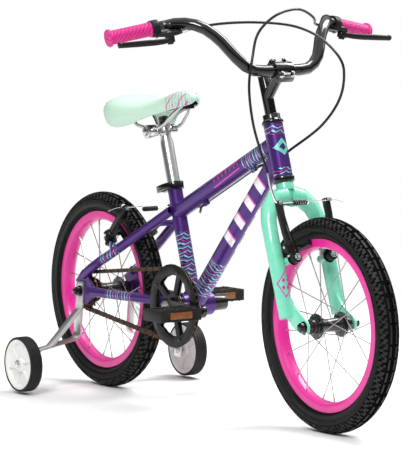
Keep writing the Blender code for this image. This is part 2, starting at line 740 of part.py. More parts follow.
def build_fork():
    """Steerer tube, two legs, dropouts and brake posts: one welded piece."""
    solids = [cylinder((0, 0, 0.250), (0, 0, STEERER_TOP), STEERER_RADIUS, 16),
              cylinder((0, 0, 0.266), (0, 0, CROWN_HEIGHT), 0.0165, 16)]
    cuts = []
    for side in (-1, 1):
        route = smooth_points(mirrored(FORK_LEG_ROUTE, side), 0.024)
        route.append(Vector((FORK_LEG_LEAD, side * FORK_LEG_SPREAD, FORK_LEG_BOTTOM)))
        radii = FORK_LEG_SWELL + [FORK_LEG_RADIUS] * (len(route) - len(FORK_LEG_SWELL))
        solids.append(swept(route, radii, 12, across=(1, 0, 0)))
        inner = side * FRONT_OLD / 2
        outer = side * FRONT_DROPOUT_OUTER
        solids.append(side_plate(FORK_DROPOUT_OUTLINE, inner, outer))
        post = brake_post(LEG_OFFSET_FROM_AXLE, FRONT_POST_LENGTH, FRONT_PIVOT_HEIGHT, side)
        solids.append(moved(post, Matrix.Translation((FORK_RAKE, 0, 0))))
        slot = FRONT_AXLE_RADIUS + 2 * GAP
        cuts.append(cylinder((FORK_RAKE, inner - side * 0.01, 0),
                             (FORK_RAKE, outer + side * 0.02, 0), slot, 8))
        cuts.append(block((FORK_RAKE, (inner + outer) / 2, -0.015), (2 * slot, 0.02, 0.030)))
    cuts.append(cylinder((0, 0, 0.22), (0, 0, 0.45), QUILL_RADIUS + GAP, 16))
    add_piece("fork", STEERING, "mint_paint", solids, cuts)


def build_headset():
    """Lower cup on the head tube, and the upper cup with its locknut."""
    bore = STEERER_RADIUS + GAP
    low = CROWN_HEIGHT + GAP
    high = HEAD_TUBE_BOTTOM - GAP
    add_piece("headset_lower", STEERING, "black_paint",
              [turned([(bore, low), (HEADSET_RADIUS - 0.002, low), (HEADSET_RADIUS, low + 0.003),
                       (HEADSET_RADIUS, high), (bore, high)], 16)])
    low = HEAD_TUBE_TOP + GAP
    add_piece("headset_upper", STEERING, "black_paint",
              [turned([(bore, low), (HEADSET_RADIUS, low), (HEADSET_RADIUS, low + 0.005),
                       (LOCKNUT_RADIUS, low + 0.009), (LOCKNUT_RADIUS, STEERER_TOP),
                       (bore, STEERER_TOP)], 16)])


# Stem, handlebar and grips

BAR_ROUTE = [
    (0, 0, 0), (0, 0.022, 0), (0, 0.042, 0), (-0.003, 0.067, 0.004), (-0.0115, 0.091, 0.024),
    (-0.034, 0.1135, 0.058), (-0.055, 0.140, 0.082), (-0.0855, 0.165, 0.0885),
]
GRIP_DIRECTION = Vector((-0.016, 0.089, -0.0165)).normalized()
GRIP_START = Vector((-0.1165, GRIP_START_SIDE, 0.078))


def side_point(side, along):
    """A point on the grip's axis, measured from the grip's inner end."""
    point = GRIP_START + GRIP_DIRECTION * along
    return Vector((point.x, point.y * side, point.z))


def bar_solid(clearance=0.0):
    """The whole bar, from the right end to the left end, or a wider one to cut with."""
    half = smooth_points(BAR_ROUTE + [tuple(side_point(1, -0.030))], 0.020)
    half.append(side_point(1, -0.024))
    half.append(side_point(1, GRIP_LENGTH - GRIP_END_THICKNESS - GAP + clearance))
    whole = [Vector((x, -y, z)) for x, y, z in reversed(half[1:])] + half
    return swept(whole, BAR_RADIUS + clearance, 10, across=(1, 0, 0))


def build_stem():
    """Quill stem with its forward tube, and the cap that holds the bar."""
    clamp = Vector((STEM_REACH, 0, STEM_HEIGHT))
    rise = math.atan2(STEM_HEIGHT - STEM_TUBE_START, STEM_REACH)
    place = Matrix.Translation(clamp) @ Matrix.Rotation(-rise, 4, "Y")
    half = Vector((0, CLAMP_LENGTH / 2, 0))
    ear_size = (0.018, CLAMP_LENGTH - 0.002, 0.009)

    def clamp_body():
        parts = [cylinder(-half, half, CLAMP_RADIUS, 16),
                 block((0, 0, 0.0175), ear_size), block((0, 0, -0.0175), ear_size)]
        return [moved(bm, place) for bm in parts]

    def clamp_cuts(side):
        middle = 0.05 + CLAMP_SPLIT - GAP if side > 0 else CLAMP_SPLIT + GAP - 0.05
        parts = [cylinder(half * -1.2, half * 1.2, turning_bore(BAR_RADIUS, 16), 16),
                 block((middle, 0, 0), (0.1, 0.1, 0.1))]
        return [moved(bm, place) for bm in parts]

    add_piece("stem", STEERING, "black_paint",
              [cylinder((0, 0, QUILL_BOTTOM), (0, 0, QUILL_TOP), QUILL_RADIUS, 16),
               cylinder((0, 0, STEM_TUBE_START - 0.0008), clamp, STEM_TUBE_RADIUS, 12)]
              + clamp_body(), clamp_cuts(1))
    bolts = []
    for y in (-0.0115, 0.0115):
        for z in (-0.0175, 0.0175):
            seat = Vector((0.008, y, z))
            bolts.append(moved(cylinder(seat, seat + Vector((0.005, 0, 0)), 0.0036, 6), place))
    add_piece("stem_clamp_cap", STEERING, "black_paint", clamp_body() + bolts, clamp_cuts(-1))


def build_handlebar():
    """High-rise bar, swept back at the top, and its two grips."""
    add_piece("handlebar", BAR, "black_paint", [bar_solid()])
    outline = [
        (0, 0), (GRIP_FLANGE_RADIUS, 0), (GRIP_FLANGE_RADIUS, 0.003), (GRIP_RADIUS, 0.0045),
        (GRIP_RADIUS, GRIP_LENGTH - 0.009), (GRIP_FLANGE_RADIUS - 0.001, GRIP_LENGTH - 0.006),
        (GRIP_FLANGE_RADIUS - 0.001, GRIP_LENGTH), (0, GRIP_LENGTH),
    ]
    for label, side in (("right", -1), ("left", 1)):
        place = place_on_line(side_point(side, 0), side_point(side, 1))
        add_piece(f"grip_{label}", BAR, "pink_rubber", [moved(turned(outline, 12), place)],
                  [bar_solid(GAP)])


# Brake levers

def grip_frame(side):
    """X forward, Y outwards along the grip, Z up; mirrored on the right side."""
    outward = side_point(side, 1) - side_point(side, 0)
    forward = (Vector((1, 0, 0)) - outward * outward.x).normalized()
    up = Vector((0, 0, 1))
    up = (up - outward * up.dot(outward) - forward * up.dot(forward)).normalized()
    turn = Matrix((forward, outward, up)).transposed().to_4x4()
    return Matrix.Translation(side_point(side, 0)) @ turn


def build_levers():
    """A clamp with its lever on each side, just inside the grip."""
    pivot = Vector((LEVER_PIVOT_FORWARD, LEVER_PIVOT_SIDE, LEVER_PIVOT_DROP))
    boss_top = LEVER_BOSS_HEIGHT / 2
    clamp_from = -GAP
    clamp_to = -GAP - LEVER_CLAMP_WIDTH
    for label, side in (("right", -1), ("left", 1)):
        matrix = grip_frame(side)
        plate_low = pivot.z + boss_top + GAP
        plate_high = plate_low + 0.007
        head_top = pivot.z - boss_top - GAP
        reach = pivot.x + 0.008
        body = plate([(0.008, clamp_from - 0.001), (0.008, clamp_to + 0.001), (0.018, -0.046),
                      (0.034, -0.048), (reach, -0.034), (reach, -0.015), (0.030, -0.008)],
                     plate_low, plate_high)
        neck = block((0.0125, (clamp_from + clamp_to) / 2, (plate_high - 0.004) / 2),
                     (0.013, LEVER_CLAMP_WIDTH - 0.002, 0.014))
        adjuster_start = Vector((0.026, -0.044, (plate_low + plate_high) / 2))
        adjuster_end = adjuster_start - Vector((0, ADJUSTER_LENGTH, 0))
        solids = [cylinder((0, clamp_to, 0), (0, clamp_from, 0), LEVER_CLAMP_RADIUS, 12),
                  neck, body,
                  cylinder(adjuster_start, adjuster_end, ADJUSTER_RADIUS, 6),
                  cylinder((pivot.x, pivot.y, head_top - 0.002),
                           (pivot.x, pivot.y, plate_low + 0.002), LEVER_PIN_RADIUS, 6),
                  cylinder((pivot.x, pivot.y, head_top - 0.003),
                           (pivot.x, pivot.y, head_top), 2 * LEVER_PIN_RADIUS, 6)]
        add_piece(f"brake_lever_mount_{label}", BAR, "black_plastic",
                  [moved(bm, matrix) for bm in solids], [bar_solid(GAP)])

        centre = matrix @ pivot
        lever_frame = Frame(f"brake_lever_axis_{label}",
                            BAR.world @ Matrix.Translation(centre), BAR)
        to_pivot = Matrix.Translation(-centre) @ matrix
        blade = smooth_points([pivot + Vector((0.006, 0.002, 0)),
                               pivot + Vector((0.0145, 0.026, 0.001)),
                               pivot + Vector((0.019, 0.065, 0.006)),
                               pivot + Vector((0.021, 0.110, 0.0115))], 0.018)
        radii = [0.0051 + 0.0010 * math.sin(math.pi * step / (len(blade) - 1))
                 for step in range(len(blade))]
        solids = [cylinder(pivot - Vector((0, 0, boss_top)), pivot + Vector((0, 0, boss_top)),
                           LEVER_BOSS_RADIUS, 10),
                  swept(blade, radii, 8, flatten=0.72, across=(0, 0, 1))]
        cuts = [cylinder(pivot - Vector((0, 0, 0.02)), pivot + Vector((0, 0, 0.02)),
                         turning_bore(LEVER_PIN_RADIUS, 8), 8)]
        add_piece(f"brake_lever_{label}", lever_frame, "black_plastic",
                  [moved(bm, to_pivot) for bm in solids], [moved(bm, to_pivot) for bm in cuts])


# Rim brakes

def arm_outline(pivot_height, side):
    """The arm seen from ahead, tapering up from the pivot."""
    spine = [(0.0400, -0.004, 0.0090), (0.0440, 0.022, 0.0085), (0.0500, 0.048, 0.0062),
             (0.0530, 0.078, 0.0052), (0.0530, BRAKE_ARM_LENGTH + 0.005, 0.0055)]
    inner = [(y - half, pivot_height + z) for y, z, half in spine]
    outer = [(y + half, pivot_height + z) for y, z, half in reversed(spine)]
    return [(side * y, z) for y, z in inner + outer]


def build_brake(prefix, frame, leg_offset, post_length, pivot_height, names):
    """Two arms with their pads, pivoted on the posts of the fork or the stays."""
    arm_x = leg_offset + post_length + GAP + BRAKE_BOSS_LENGTH / 2
    pad_height = math.sqrt(PAD_TRACK_RADIUS ** 2 - arm_x ** 2)
    pad_turn = Matrix.Rotation(math.atan2(arm_x, pad_height), 3, "Y")
    pad_face = RIM_HALF_WIDTH + PAD_GAP
    cable_height = pivot_height + BRAKE_ARM_LENGTH
    for side in (-1, 1):
        y = side * BRAKE_PIVOT_SPREAD
        pivot = Vector((arm_x, y, pivot_height))
        axis = Frame(f"{prefix}_brake_axis_{names[side]}",
                     frame.world @ Matrix.Translation(pivot), frame)
        half_boss = Vector((BRAKE_BOSS_LENGTH / 2, 0, 0))
        blade = plate(arm_outline(pivot_height, side), -BRAKE_ARM_THICKNESS / 2,
                      BRAKE_ARM_THICKNESS / 2)
        swap = Matrix(((0, 0, 1, arm_x), (1, 0, 0, 0), (0, 1, 0, 0), (0, 0, 0, 1)))
        pad_centre = Vector((arm_x, side * (pad_face + PAD_THICKNESS / 2), pad_height))
        holder_end = Vector((arm_x, side * 0.044, pad_height))
        solids = [moved(blade, swap),
                  cylinder(pivot - half_boss, pivot + half_boss, BRAKE_BOSS_RADIUS, 10),
                  cylinder(pad_centre, holder_end, 0.0040, 6),
                  block(pad_centre, (PAD_LENGTH, PAD_THICKNESS, PAD_HEIGHT), pad_turn)]
        cuts = [cylinder(pivot - half_boss * 2, pivot + half_boss * 2,
                         turning_bore(BRAKE_STUD_RADIUS, 8), 8)]
        if side > 0:
            anchor = Vector((arm_x, side * 0.053, cable_height))
            solids.append(cylinder(anchor, anchor + Vector((0.0095, 0, 0)), 0.0045, 6))
        elif prefix == "front":
            cuts.append(noodle_bend(arm_x, cable_height, FRONT_NOODLE_ROUTE, GAP))
        else:
            solids += noodle_solids(arm_x, cable_height, REAR_NOODLE_ROUTE)
        to_pivot = Matrix.Translation(-pivot)
        add_piece(f"{prefix}_brake_arm_{names[side]}", axis, "black_plastic",
                  [moved(bm, to_pivot) for bm in solids], [moved(bm, to_pivot) for bm in cuts])
        if prefix == "front" and side < 0:
            noodle = noodle_solids(arm_x, cable_height, FRONT_NOODLE_ROUTE)
            add_piece("front_brake_noodle", axis, "polished_steel",
                      [moved(bm, to_pivot) for bm in noodle])


FRONT_NOODLE_ROUTE = [
    (0.013, -0.0735, 0.055), (0.010, -0.0715, 0.036), (0.006, -0.0675, 0.018),
    (0.0015, -0.0615, 0.0055), (0.0, -0.053, 0.0), (0.0, -0.012, 0.0),
]
REAR_NOODLE_ROUTE = [
    (-0.0283, -0.076, 0.035), (-0.0176, -0.0755, 0.0218), (-0.0069, -0.0715, 0.0085),
    (-0.0013, -0.063, 0.0016), (0.0, -0.053, 0.0), (0.0, -0.012, 0.0),
]


def noodle_end(arm_x, cable_height, route):
    """Where the housing meets the noodle, in a brake frame."""
    x, y, z = route[0]
    return Vector((arm_x + x, y, cable_height + z))


def noodle_bend(arm_x, cable_height, route, clearance=0.0):
    """The bent cable guide, or a wider one to cut with."""
    centre = Vector((arm_x, 0, cable_height))
    bend = smooth_points([centre + Vector(point) for point in route], 0.011)
    return swept(bend, NOODLE_RADIUS + clearance, 6, across=(1, 0, 0.3))


def noodle_solids(arm_x, cable_height, route):
    """The bent cable guide and the rubber boot over the bare cable."""
    boot_start = Vector((arm_x, -0.021, cable_height))
    return [noodle_bend(arm_x, cable_height, route),
            cylinder(boot_start, boot_start + Vector((0, 0.032, 0)), BOOT_RADIUS, 8)]


# Wheels

def tyre_outline():
    """Open section of the tyre: beads in the rim, sidewalls and a flat crown."""
    middle = (TYRE_RADIUS + RIM_RADIUS) / 2 + 0.001
    wall = TYRE_WALL
    outer = [
        (BEAD_RADIUS, BEAD_HALF_WIDTH - wall), (BEAD_RADIUS, BEAD_HALF_WIDTH),
        (RIM_RADIUS + 0.001, BEAD_HALF_WIDTH + GAP), (middle, TYRE_HALF_WIDTH),
        (TYRE_RADIUS, 0.36 * TYRE_HALF_WIDTH),
    ]
    side = (middle, TYRE_HALF_WIDTH - wall)
    right = [(radius, -height) for radius, height in outer]
    left = list(reversed(outer))
    return right + left + [side, (TYRE_RADIUS - 1.5 * wall, 0), (side[0], -side[1])]


def rim_outline():
    """Rim with two brake walls, a bed for the tyre and a tapered well."""
    inside = RIM_HALF_WIDTH - RIM_WALL
    upper = [
        (RIM_BED_RADIUS, inside), (RIM_RADIUS, inside), (RIM_RADIUS, RIM_HALF_WIDTH),
        (RIM_RADIUS - 0.0145, RIM_HALF_WIDTH), (RIM_INNER_RADIUS, 0.0060),
    ]
    return upper + [(radius, -height) for radius, height in reversed(upper)]


def spokes(flanges, rim_reach):
    """Crossed wire spokes, each run from a flange to just short of the rim."""
    bm = bmesh.new()
    per_side = SPOKE_COUNT // 2
    for number in range(SPOKE_COUNT):
        flange = flanges[number % 2]
        pair = number // 2
        direction = 1 if pair % 2 else -1
        rim_angle = 2 * math.pi * (number + 0.5) / SPOKE_COUNT
        hub_angle = rim_angle + direction * SPOKE_CROSSINGS * 2 * math.pi / per_side
        height = flange + math.copysign(HUB_FLANGE_THICKNESS / 2, flange) * direction
        start = Vector((SPOKE_HOLE_RADIUS * math.cos(hub_angle),
                        SPOKE_HOLE_RADIUS * math.sin(hub_angle), height))
        end = Vector((rim_reach * math.cos(rim_angle), rim_reach * math.sin(rim_angle),
                      math.copysign(0.003, flange)))
        wire = cylinder(start, end, SPOKE_RADIUS, 3)
        mesh = bpy.data.meshes.new("spoke")
        wire.to_mesh(mesh)
        wire.free()
        bm.from_mesh(mesh)
        bpy.data.meshes.remove(mesh)
    return bm


def hub_outline(bore, flanges, ends, steps=()):
    """Hub barrel with two flanges; steps replace the plain right-hand end."""
    half = HUB_FLANGE_THICKNESS / 2
    right, left = flanges
    outline = [(bore, ends[0])]
    outline += list(steps) if steps else [(HUB_BARREL_RADIUS, ends[0])]
    if not steps:
        outline.append((HUB_BARREL_RADIUS, right - half))
    outline += [
        (HUB_FLANGE_RADIUS, right - half), (HUB_FLANGE_RADIUS, right + half),
        (HUB_BARREL_RADIUS, right + half), (HUB_BARREL_RADIUS, left - half),
        (HUB_FLANGE_RADIUS, left - half), (HUB_FLANGE_RADIUS, left + half),
        (HUB_BARREL_RADIUS, left + half), (HUB_BARREL_RADIUS, ends[1]), (bore, ends[1]),
    ]
    return outline


def build_wheel(prefix, frame, flanges, hub):
    """Tyre, rim and the hub with its spokes."""
    add_piece(f"{prefix}_tyre", frame, "tyre_rubber", [turned(tyre_outline(), WHEEL_SIDES)])
    add_piece(f"{prefix}_rim", frame, "pink_paint", [turned(rim_outline(), WHEEL_SIDES)])
    rim_reach = RIM_INNER_RADIUS * math.cos(math.pi / WHEEL_SIDES) - GAP
    add_piece(f"{prefix}_hub", frame, "black_paint",
              [turned(hub, 14), spokes(flanges, rim_reach)], sharp=30)


def axle_outline(radius, cone_face, old, dropout_outer, end):
    """Right half of an axle with its cone and locknut inside and its nut outside."""
    inner = old / 2
    half = [
        (radius, cone_face), (AXLE_NUT_RADIUS, cone_face), (AXLE_NUT_RADIUS, inner - GAP),
        (radius, inner - GAP), (radius, dropout_outer + GAP),
        (AXLE_NUT_RADIUS, dropout_outer + GAP),
        (AXLE_NUT_RADIUS, dropout_outer + GAP + AXLE_NUT_HEIGHT),
        (radius, dropout_outer + GAP + AXLE_NUT_HEIGHT), (radius, end), (0, end),
    ]
    return [(r, -h) for r, h in reversed(half)] + half


def build_wheels():
    """Both wheels with their axles, and the freewheel on the rear hub."""
    flanges = (-FRONT_FLANGE_SPACING, FRONT_FLANGE_SPACING)
    cone = FRONT_OLD / 2 - 0.0042
    hub = hub_outline(FRONT_AXLE_RADIUS + GAP, flanges, (-cone + GAP, cone - GAP))
    build_wheel("front", FRONT_WHEEL, flanges, hub)
    add_piece("front_axle", FRONT_WHEEL, "zinc_steel",
              [turned(axle_outline(FRONT_AXLE_RADIUS, cone, FRONT_OLD, FRONT_DROPOUT_OUTER,
                                   FRONT_DROPOUT_OUTER + AXLE_NUT_HEIGHT + 0.0035), 8)])

    flanges = (-REAR_FLANGE_RIGHT, REAR_FLANGE_LEFT)
    cone = REAR_OLD / 2 - 0.0042
    half = HUB_FLANGE_THICKNESS / 2
    steps = [(FREEWHEEL_THREAD_RADIUS, -cone + GAP),
             (FREEWHEEL_THREAD_RADIUS, -REAR_FLANGE_RIGHT - half)]
    hub = hub_outline(REAR_AXLE_RADIUS + GAP, flanges, (-cone + GAP, cone - GAP), steps)
    build_wheel("rear", REAR_WHEEL, flanges, hub)
    add_piece("rear_axle", REAR_WHEEL, "zinc_steel",
              [turned(axle_outline(REAR_AXLE_RADIUS, cone, REAR_OLD,
                                   REAR_DROPOUT_OUTER + STRAP_THICKNESS + GAP, AXLE_END), 8)])
    bore = turning_bore(FREEWHEEL_THREAD_RADIUS, 14)
    add_piece("freewheel", REAR_WHEEL, "chain_steel",
              [plate(gear_outline(SPROCKET_TEETH, SPROCKET_PITCH_RADIUS),
                     -CHAINLINE - GEAR_HALF_THICKNESS, -CHAINLINE + GEAR_HALF_THICKNESS),
               cylinder((0, 0, -0.0500), (0, 0, -0.0370), FREEWHEEL_RADIUS, 16)],
              [cylinder((0, 0, -0.06), (0, 0, -0.03), bore, 14)])


# Drive

def chain_stations():
    """Even stations on the chain line: place, outward direction, and whether a pin."""
    front = Vector((BB_X, BB_Z))
    rear = Vector((0, AXLE_HEIGHT))
    line = rear - front
    distance = line.length
    heading = math.atan2(line.y, line.x)
    spread = math.acos((CHAINRING_PITCH_RADIUS - SPROCKET_PITCH_RADIUS) / distance)
    run = distance * math.sin(spread)
    front_arc = 2 * (math.pi - spread)
    rear_arc = 2 * spread
    lengths = [CHAINRING_PITCH_RADIUS * front_arc, run, SPROCKET_PITCH_RADIUS * rear_arc, run]
    total = sum(lengths)
    links = 2 * round(total / CHAIN_PITCH / 2)
    stations = []
    for step in range(links):
        s = total * step / links
        straight = lengths[0] < s < lengths[0] + run or s > total - run
        if straight and step % 2:
            continue
        if s < lengths[0]:
            angle = heading + spread + s / CHAINRING_PITCH_RADIUS
            outward = Vector((math.cos(angle), math.sin(angle)))
            place = front + outward * CHAINRING_PITCH_RADIUS
        elif s < lengths[0] + lengths[1]:
            angle = heading - spread
            outward = Vector((math.cos(angle), math.sin(angle)))
            share = (s - lengths[0]) / run
            place = (front + outward * CHAINRING_PITCH_RADIUS).lerp(
                rear + outward * SPROCKET_PITCH_RADIUS, share)
        elif s < total - run:
            angle = heading - spread + (s - lengths[0] - run) / SPROCKET_PITCH_RADIUS
            outward = Vector((math.cos(angle), math.sin(angle)))
            place = rear + outward * SPROCKET_PITCH_RADIUS
        else:
            angle = heading + spread
            outward = Vector((math.cos(angle), math.sin(angle)))
            share = (s - total + run) / run
            place = (rear + outward * SPROCKET_PITCH_RADIUS).lerp(
                front + outward * CHAINRING_PITCH_RADIUS, share)
        stations.append((place, outward, step % 4 == 0 if straight else step % 2 == 0))
    return stations


def build_chain():
    """Side plates waisted between the pins, joined over the teeth by a thin web."""
    bm = bmesh.new()
    rows = []
    for place, outward, pin in chain_stations():
        top = 0.0048 if pin else CHAIN_WEB_HEIGHT + 0.0006
        low = -0.0043 if pin else -0.0033
        section = [
            (CHAIN_HALF_WIDTH, low), (CHAIN_HALF_WIDTH, top), (-CHAIN_HALF_WIDTH, top),
            (-CHAIN_HALF_WIDTH, low), (-CHAIN_SLOT_HALF_WIDTH, low),
            (-CHAIN_SLOT_HALF_WIDTH, CHAIN_WEB_HEIGHT), (CHAIN_SLOT_HALF_WIDTH, CHAIN_WEB_HEIGHT),
            (CHAIN_SLOT_HALF_WIDTH, low),
        ]
        row = []
        for across, out in section:
            spot = place + outward * out
            row.append(bm.verts.new((spot.x, -CHAINLINE + across, spot.y)))
        rows.append(row)
    for index, here in enumerate(rows):
        after = rows[(index + 1) % len(rows)]
        for step in range(8):
            following = (step + 1) % 8
            bm.faces.new([here[step], here[following], after[following], after[step]])
    add_piece("chain", BIKE, "chain_steel", [bm])


PEDAL_TURN = Matrix.Rotation(math.radians(-90), 4, "X")


def build_drive():
    """Bottom bracket, cranks, chainring and its guard, and the pedals."""
    flange_face = BB_SHELL_WIDTH / 2 + GAP
    flange_end = flange_face + BB_FLANGE_THICKNESS
    bore = SPINDLE_RADIUS + GAP
    body = BB_SHELL_BORE - GAP
    outline = [(bore, -flange_end), (BB_FLANGE_RADIUS, -flange_end), (BB_FLANGE_RADIUS, -flange_face),
               (body, -flange_face), (body, flange_face), (BB_FLANGE_RADIUS, flange_face),
               (BB_FLANGE_RADIUS, flange_end), (bore, flange_end)]
    add_piece("bottom_bracket", CRANK, "black_paint", [moved(turned(outline, 16), SIDEWAYS)])
    add_piece("crank_spindle", CRANK, "zinc_steel",
              [cylinder((0, -SPINDLE_HALF_LENGTH, 0), (0, SPINDLE_HALF_LENGTH, 0),
                        SPINDLE_RADIUS, 12)])

    ring_half = GEAR_HALF_THICKNESS
    hole = CRANK_BOSS_RADIUS + GAP
    ring_windows = [plate(window_outline(0.024, 0.060, 0.007, n), -0.01, 0.01)
                    for n in range(SPIDER_ARMS)]
    ring_place = Matrix.Translation((0, -CHAINLINE, 0)) @ SIDEWAYS
    add_piece("chainring", CRANK, "black_paint",
              [moved(plate(gear_outline(CHAINRING_TEETH, CHAINRING_PITCH_RADIUS),
                           -ring_half, ring_half), ring_place)],
              [moved(bm, ring_place) for bm in ring_windows]
              + [cylinder((0, -CHAINLINE - 0.01, 0), (0, -CHAINLINE + 0.01, 0), hole, 12)])
    guard_inner = CHAINLINE + CHAIN_HALF_WIDTH + 2 * GAP
    guard_outer = guard_inner + GUARD_THICKNESS
    guard_windows = [plate(window_outline(0.027, 0.061, 0.006, n), -0.02, 0.02)
                     for n in range(SPIDER_ARMS)]
    guard_place = Matrix.Translation((0, -guard_outer, 0)) @ SIDEWAYS
    add_piece("chain_guard", CRANK, "black_plastic",
              [cylinder((0, -guard_outer, 0), (0, -guard_inner, 0), GUARD_RADIUS, 32)],
              [moved(bm, guard_place) for bm in guard_windows]
              + [cylinder((0, -guard_outer - 0.01, 0), (0, -guard_inner + 0.01, 0), hole, 12)])

    for label, side, heading in (("right", -1, 1), ("left", 1, -1)):
        inner = side * CRANK_INNER_FACE
        outer = side * (CRANK_INNER_FACE + CRANK_THICKNESS)
        boss_start = side * (flange_end + GAP)
        eye = heading * CRANK_LENGTH
        outline = [(0, -0.0135), (0, 0.0135), (eye, 0.0105), (eye, -0.0105)]
        spindle_end = side * (PEDAL_OUTER_FACE - 0.004)
        add_piece(f"crank_{label}", CRANK, "black_paint",
                  [side_plate(outline, inner, outer),
                   cylinder((eye, inner - side * 0.0006, 0), (eye, outer + side * 0.0006, 0),
                            0.0128, 12),
                   cylinder((0, boss_start, 0), (0, outer + side * 0.001, 0), CRANK_BOSS_RADIUS, 12),
                   cylinder((eye, (inner + outer) / 2, 0), (eye, spindle_end, 0),
                            PEDAL_SPINDLE_RADIUS, 8)],
                  [cylinder((0, boss_start - side * 0.01, 0), (0, outer + side * 0.01, 0), bore, 12)])
        build_pedal(label, side, eye)


def build_pedal(label, side, eye):
    """A pedal body with four openings, turning on the crank's spindle."""
    middle = side * (PEDAL_INNER_FACE + PEDAL_OUTER_FACE) / 2
    place = crank_place + Vector((eye, 0, 0))
    axis = Frame(f"pedal_axis_{label}", Matrix.Translation(place), CRANK)
    body = block((0, middle, 0), (PEDAL_WIDTH, PEDAL_LENGTH, PEDAL_HEIGHT))
    cuts = [cylinder((0, side * (PEDAL_INNER_FACE - 0.01), 0),
                     (0, side * (PEDAL_OUTER_FACE - 0.003), 0),
                     turning_bore(PEDAL_SPINDLE_RADIUS, 8), 8)]
    for x in (-0.0185, 0.0185):
        for y in (-0.0205, 0.0205):
            cuts.append(block((x, middle + y, 0), (0.015, 0.033, 0.05)))
    for x in (-PEDAL_WIDTH / 2, PEDAL_WIDTH / 2):
        cuts.append(block((x, middle, 0), (0.003, 0.050, 0.014)))
    add_piece(f"pedal_{label}", axis, "black_plastic", [body], cuts)


# Seatpost, clamps and saddle

def build_seatpost():
    """Tube post with a necked top and the band that holds the saddle bolt."""
    bore = POST_RADIUS - POST_WALL
    post = turned([
        (bore, POST_BOTTOM), (POST_RADIUS, POST_BOTTOM), (POST_RADIUS, POST_SHOULDER),
        (POST_NECK_RADIUS, POST_NECK_START), (POST_NECK_RADIUS, POST_TOP), (0, POST_TOP),
        (0, POST_SHOULDER - 0.004), (bore, POST_SHOULDER - 0.010)], 14)
    half = JAW_INNER_FACE - GAP
    bolt = Vector((-SADDLE_BOLT_BEHIND, 0, SADDLE_BOLT_HEIGHT))
    band = [cylinder((0, 0, SADDLE_BOLT_HEIGHT - 0.009), (0, 0, SADDLE_BOLT_HEIGHT + 0.009),
                     POST_NECK_RADIUS + 0.0015, 14),
            cylinder(bolt - Vector((0, half, 0)), bolt + Vector((0, half, 0)), 0.0095, 10)]
    add_piece("seatpost", SEAT, "polished_steel", [post] + band,
              [cylinder(bolt - Vector((0, 0.03, 0)), bolt + Vector((0, 0.03, 0)),
                        SADDLE_BOLT_RADIUS + GAP, 12)])


def build_seat_clamp():
    """Collar round the seat tube's top, with its quick release lever."""
    high = SEAT_TUBE_LENGTH - 0.0005
    low = high - SEAT_CLAMP_HEIGHT
    bore = SEAT_TUBE_RADIUS + GAP
    middle = (low + high) / 2
    ear_x = -SEAT_CLAMP_RADIUS - 0.005
    collar = cylinder((0, 0, low), (0, 0, high), SEAT_CLAMP_RADIUS, 16)
    ears = block((ear_x + 0.0015, 0, middle), (0.013, 0.018, SEAT_CLAMP_HEIGHT - 0.002))
    bolt = cylinder((ear_x, -0.0120, middle), (ear_x, 0.0150, middle), 0.0028, 8)
    nut = cylinder((ear_x, 0.0085, middle), (ear_x, 0.0155, middle), 0.0050, 6)
    slot = block((ear_x + 0.004, 0, middle), (0.0220, 0.0022, 0.03))
    slot_bridge = cylinder((ear_x, -0.0120, middle), (ear_x, 0.0150, middle), 0.0028, 8)
    clamp = add_piece("seat_clamp", SEAT, "black_paint", [collar, ears, nut, bolt],
                      [slot, cylinder((0, 0, low - 0.01), (0, 0, high + 0.01), bore, 16)])
    add_union(clamp, slot_bridge)

    pivot = Vector((ear_x, -0.0190, middle))
    axis = Frame("seat_clamp_lever_axis", SEAT.world @ Matrix.Translation(pivot), SEAT)
    blade = [(-0.002, -0.0060), (0.012, -0.0095), (0.026, -0.0085), (0.040, -0.0020),
             (0.0385, 0.0020), (0.026, -0.0040), (0.013, -0.0050), (0.003, -0.0020)]
    add_piece("seat_clamp_lever", axis, "black_paint",
              [cylinder((0, 0, -0.0060), (0, 0, 0.0060), 0.0064, 10),
               plate(blade, -0.0055, 0.0055)])


RAIL_ROUTE = [
    (-0.090, 0.032, 0.0435), (-0.060, 0.028, 0.021), (-0.036, RAIL_SPREAD, RAIL_ABOVE_BOLT),
    (0.030, RAIL_SPREAD, RAIL_ABOVE_BOLT), (0.064, 0.019, 0.030), (0.090, 0.012, 0.0505),
]
RAIL_NOSE = (0.0985, 0.0, 0.0540)

# Stations of the saddle from tail to nose: place, half width, top and skirt edge,
# measured from the saddle bolt
SADDLE_STATIONS = [
    (-0.126, 0.040, 0.052, 0.036), (-0.120, 0.054, 0.061, 0.030), (-0.106, 0.065, 0.068, 0.019),
    (-0.085, 0.0705, 0.0705, 0.010), (-0.060, 0.070, 0.067, 0.006), (-0.035, 0.062, 0.063, 0.010),
    (-0.010, 0.049, 0.062, 0.021), (0.015, 0.037, 0.065, 0.031), (0.045, 0.029, 0.073, 0.039),
    (0.080, 0.0245, 0.083, 0.047), (0.105, 0.021, 0.085, 0.052), (0.120, 0.016, 0.080, 0.055),
    (0.127, 0.009, 0.072, 0.058),
]


def saddle_rows(section):
    """Rows of points across the saddle, one for each smoothed station."""
    knots = smooth_points([(x, width, top) for x, width, top, _ in SADDLE_STATIONS], 0.0160)
    edges = smooth_points([(x, edge, 0) for x, _, _, edge in SADDLE_STATIONS], 0.0160)
    rows = []
    for knot in knots:
        before = max((edge for edge in edges if edge.x <= knot.x + 1e-9), key=lambda e: e.x)
        after = min((edge for edge in edges if edge.x >= knot.x - 1e-9), key=lambda e: e.x)
        width_between = after.x - before.x
        share = (knot.x - before.x) / width_between if width_between > 1e-9 else 0
        skirt = before.y + (after.y - before.y) * share
        rows.append([(knot.x, y, z) for y, z in section(knot.y, knot.z, skirt)])
    return rows


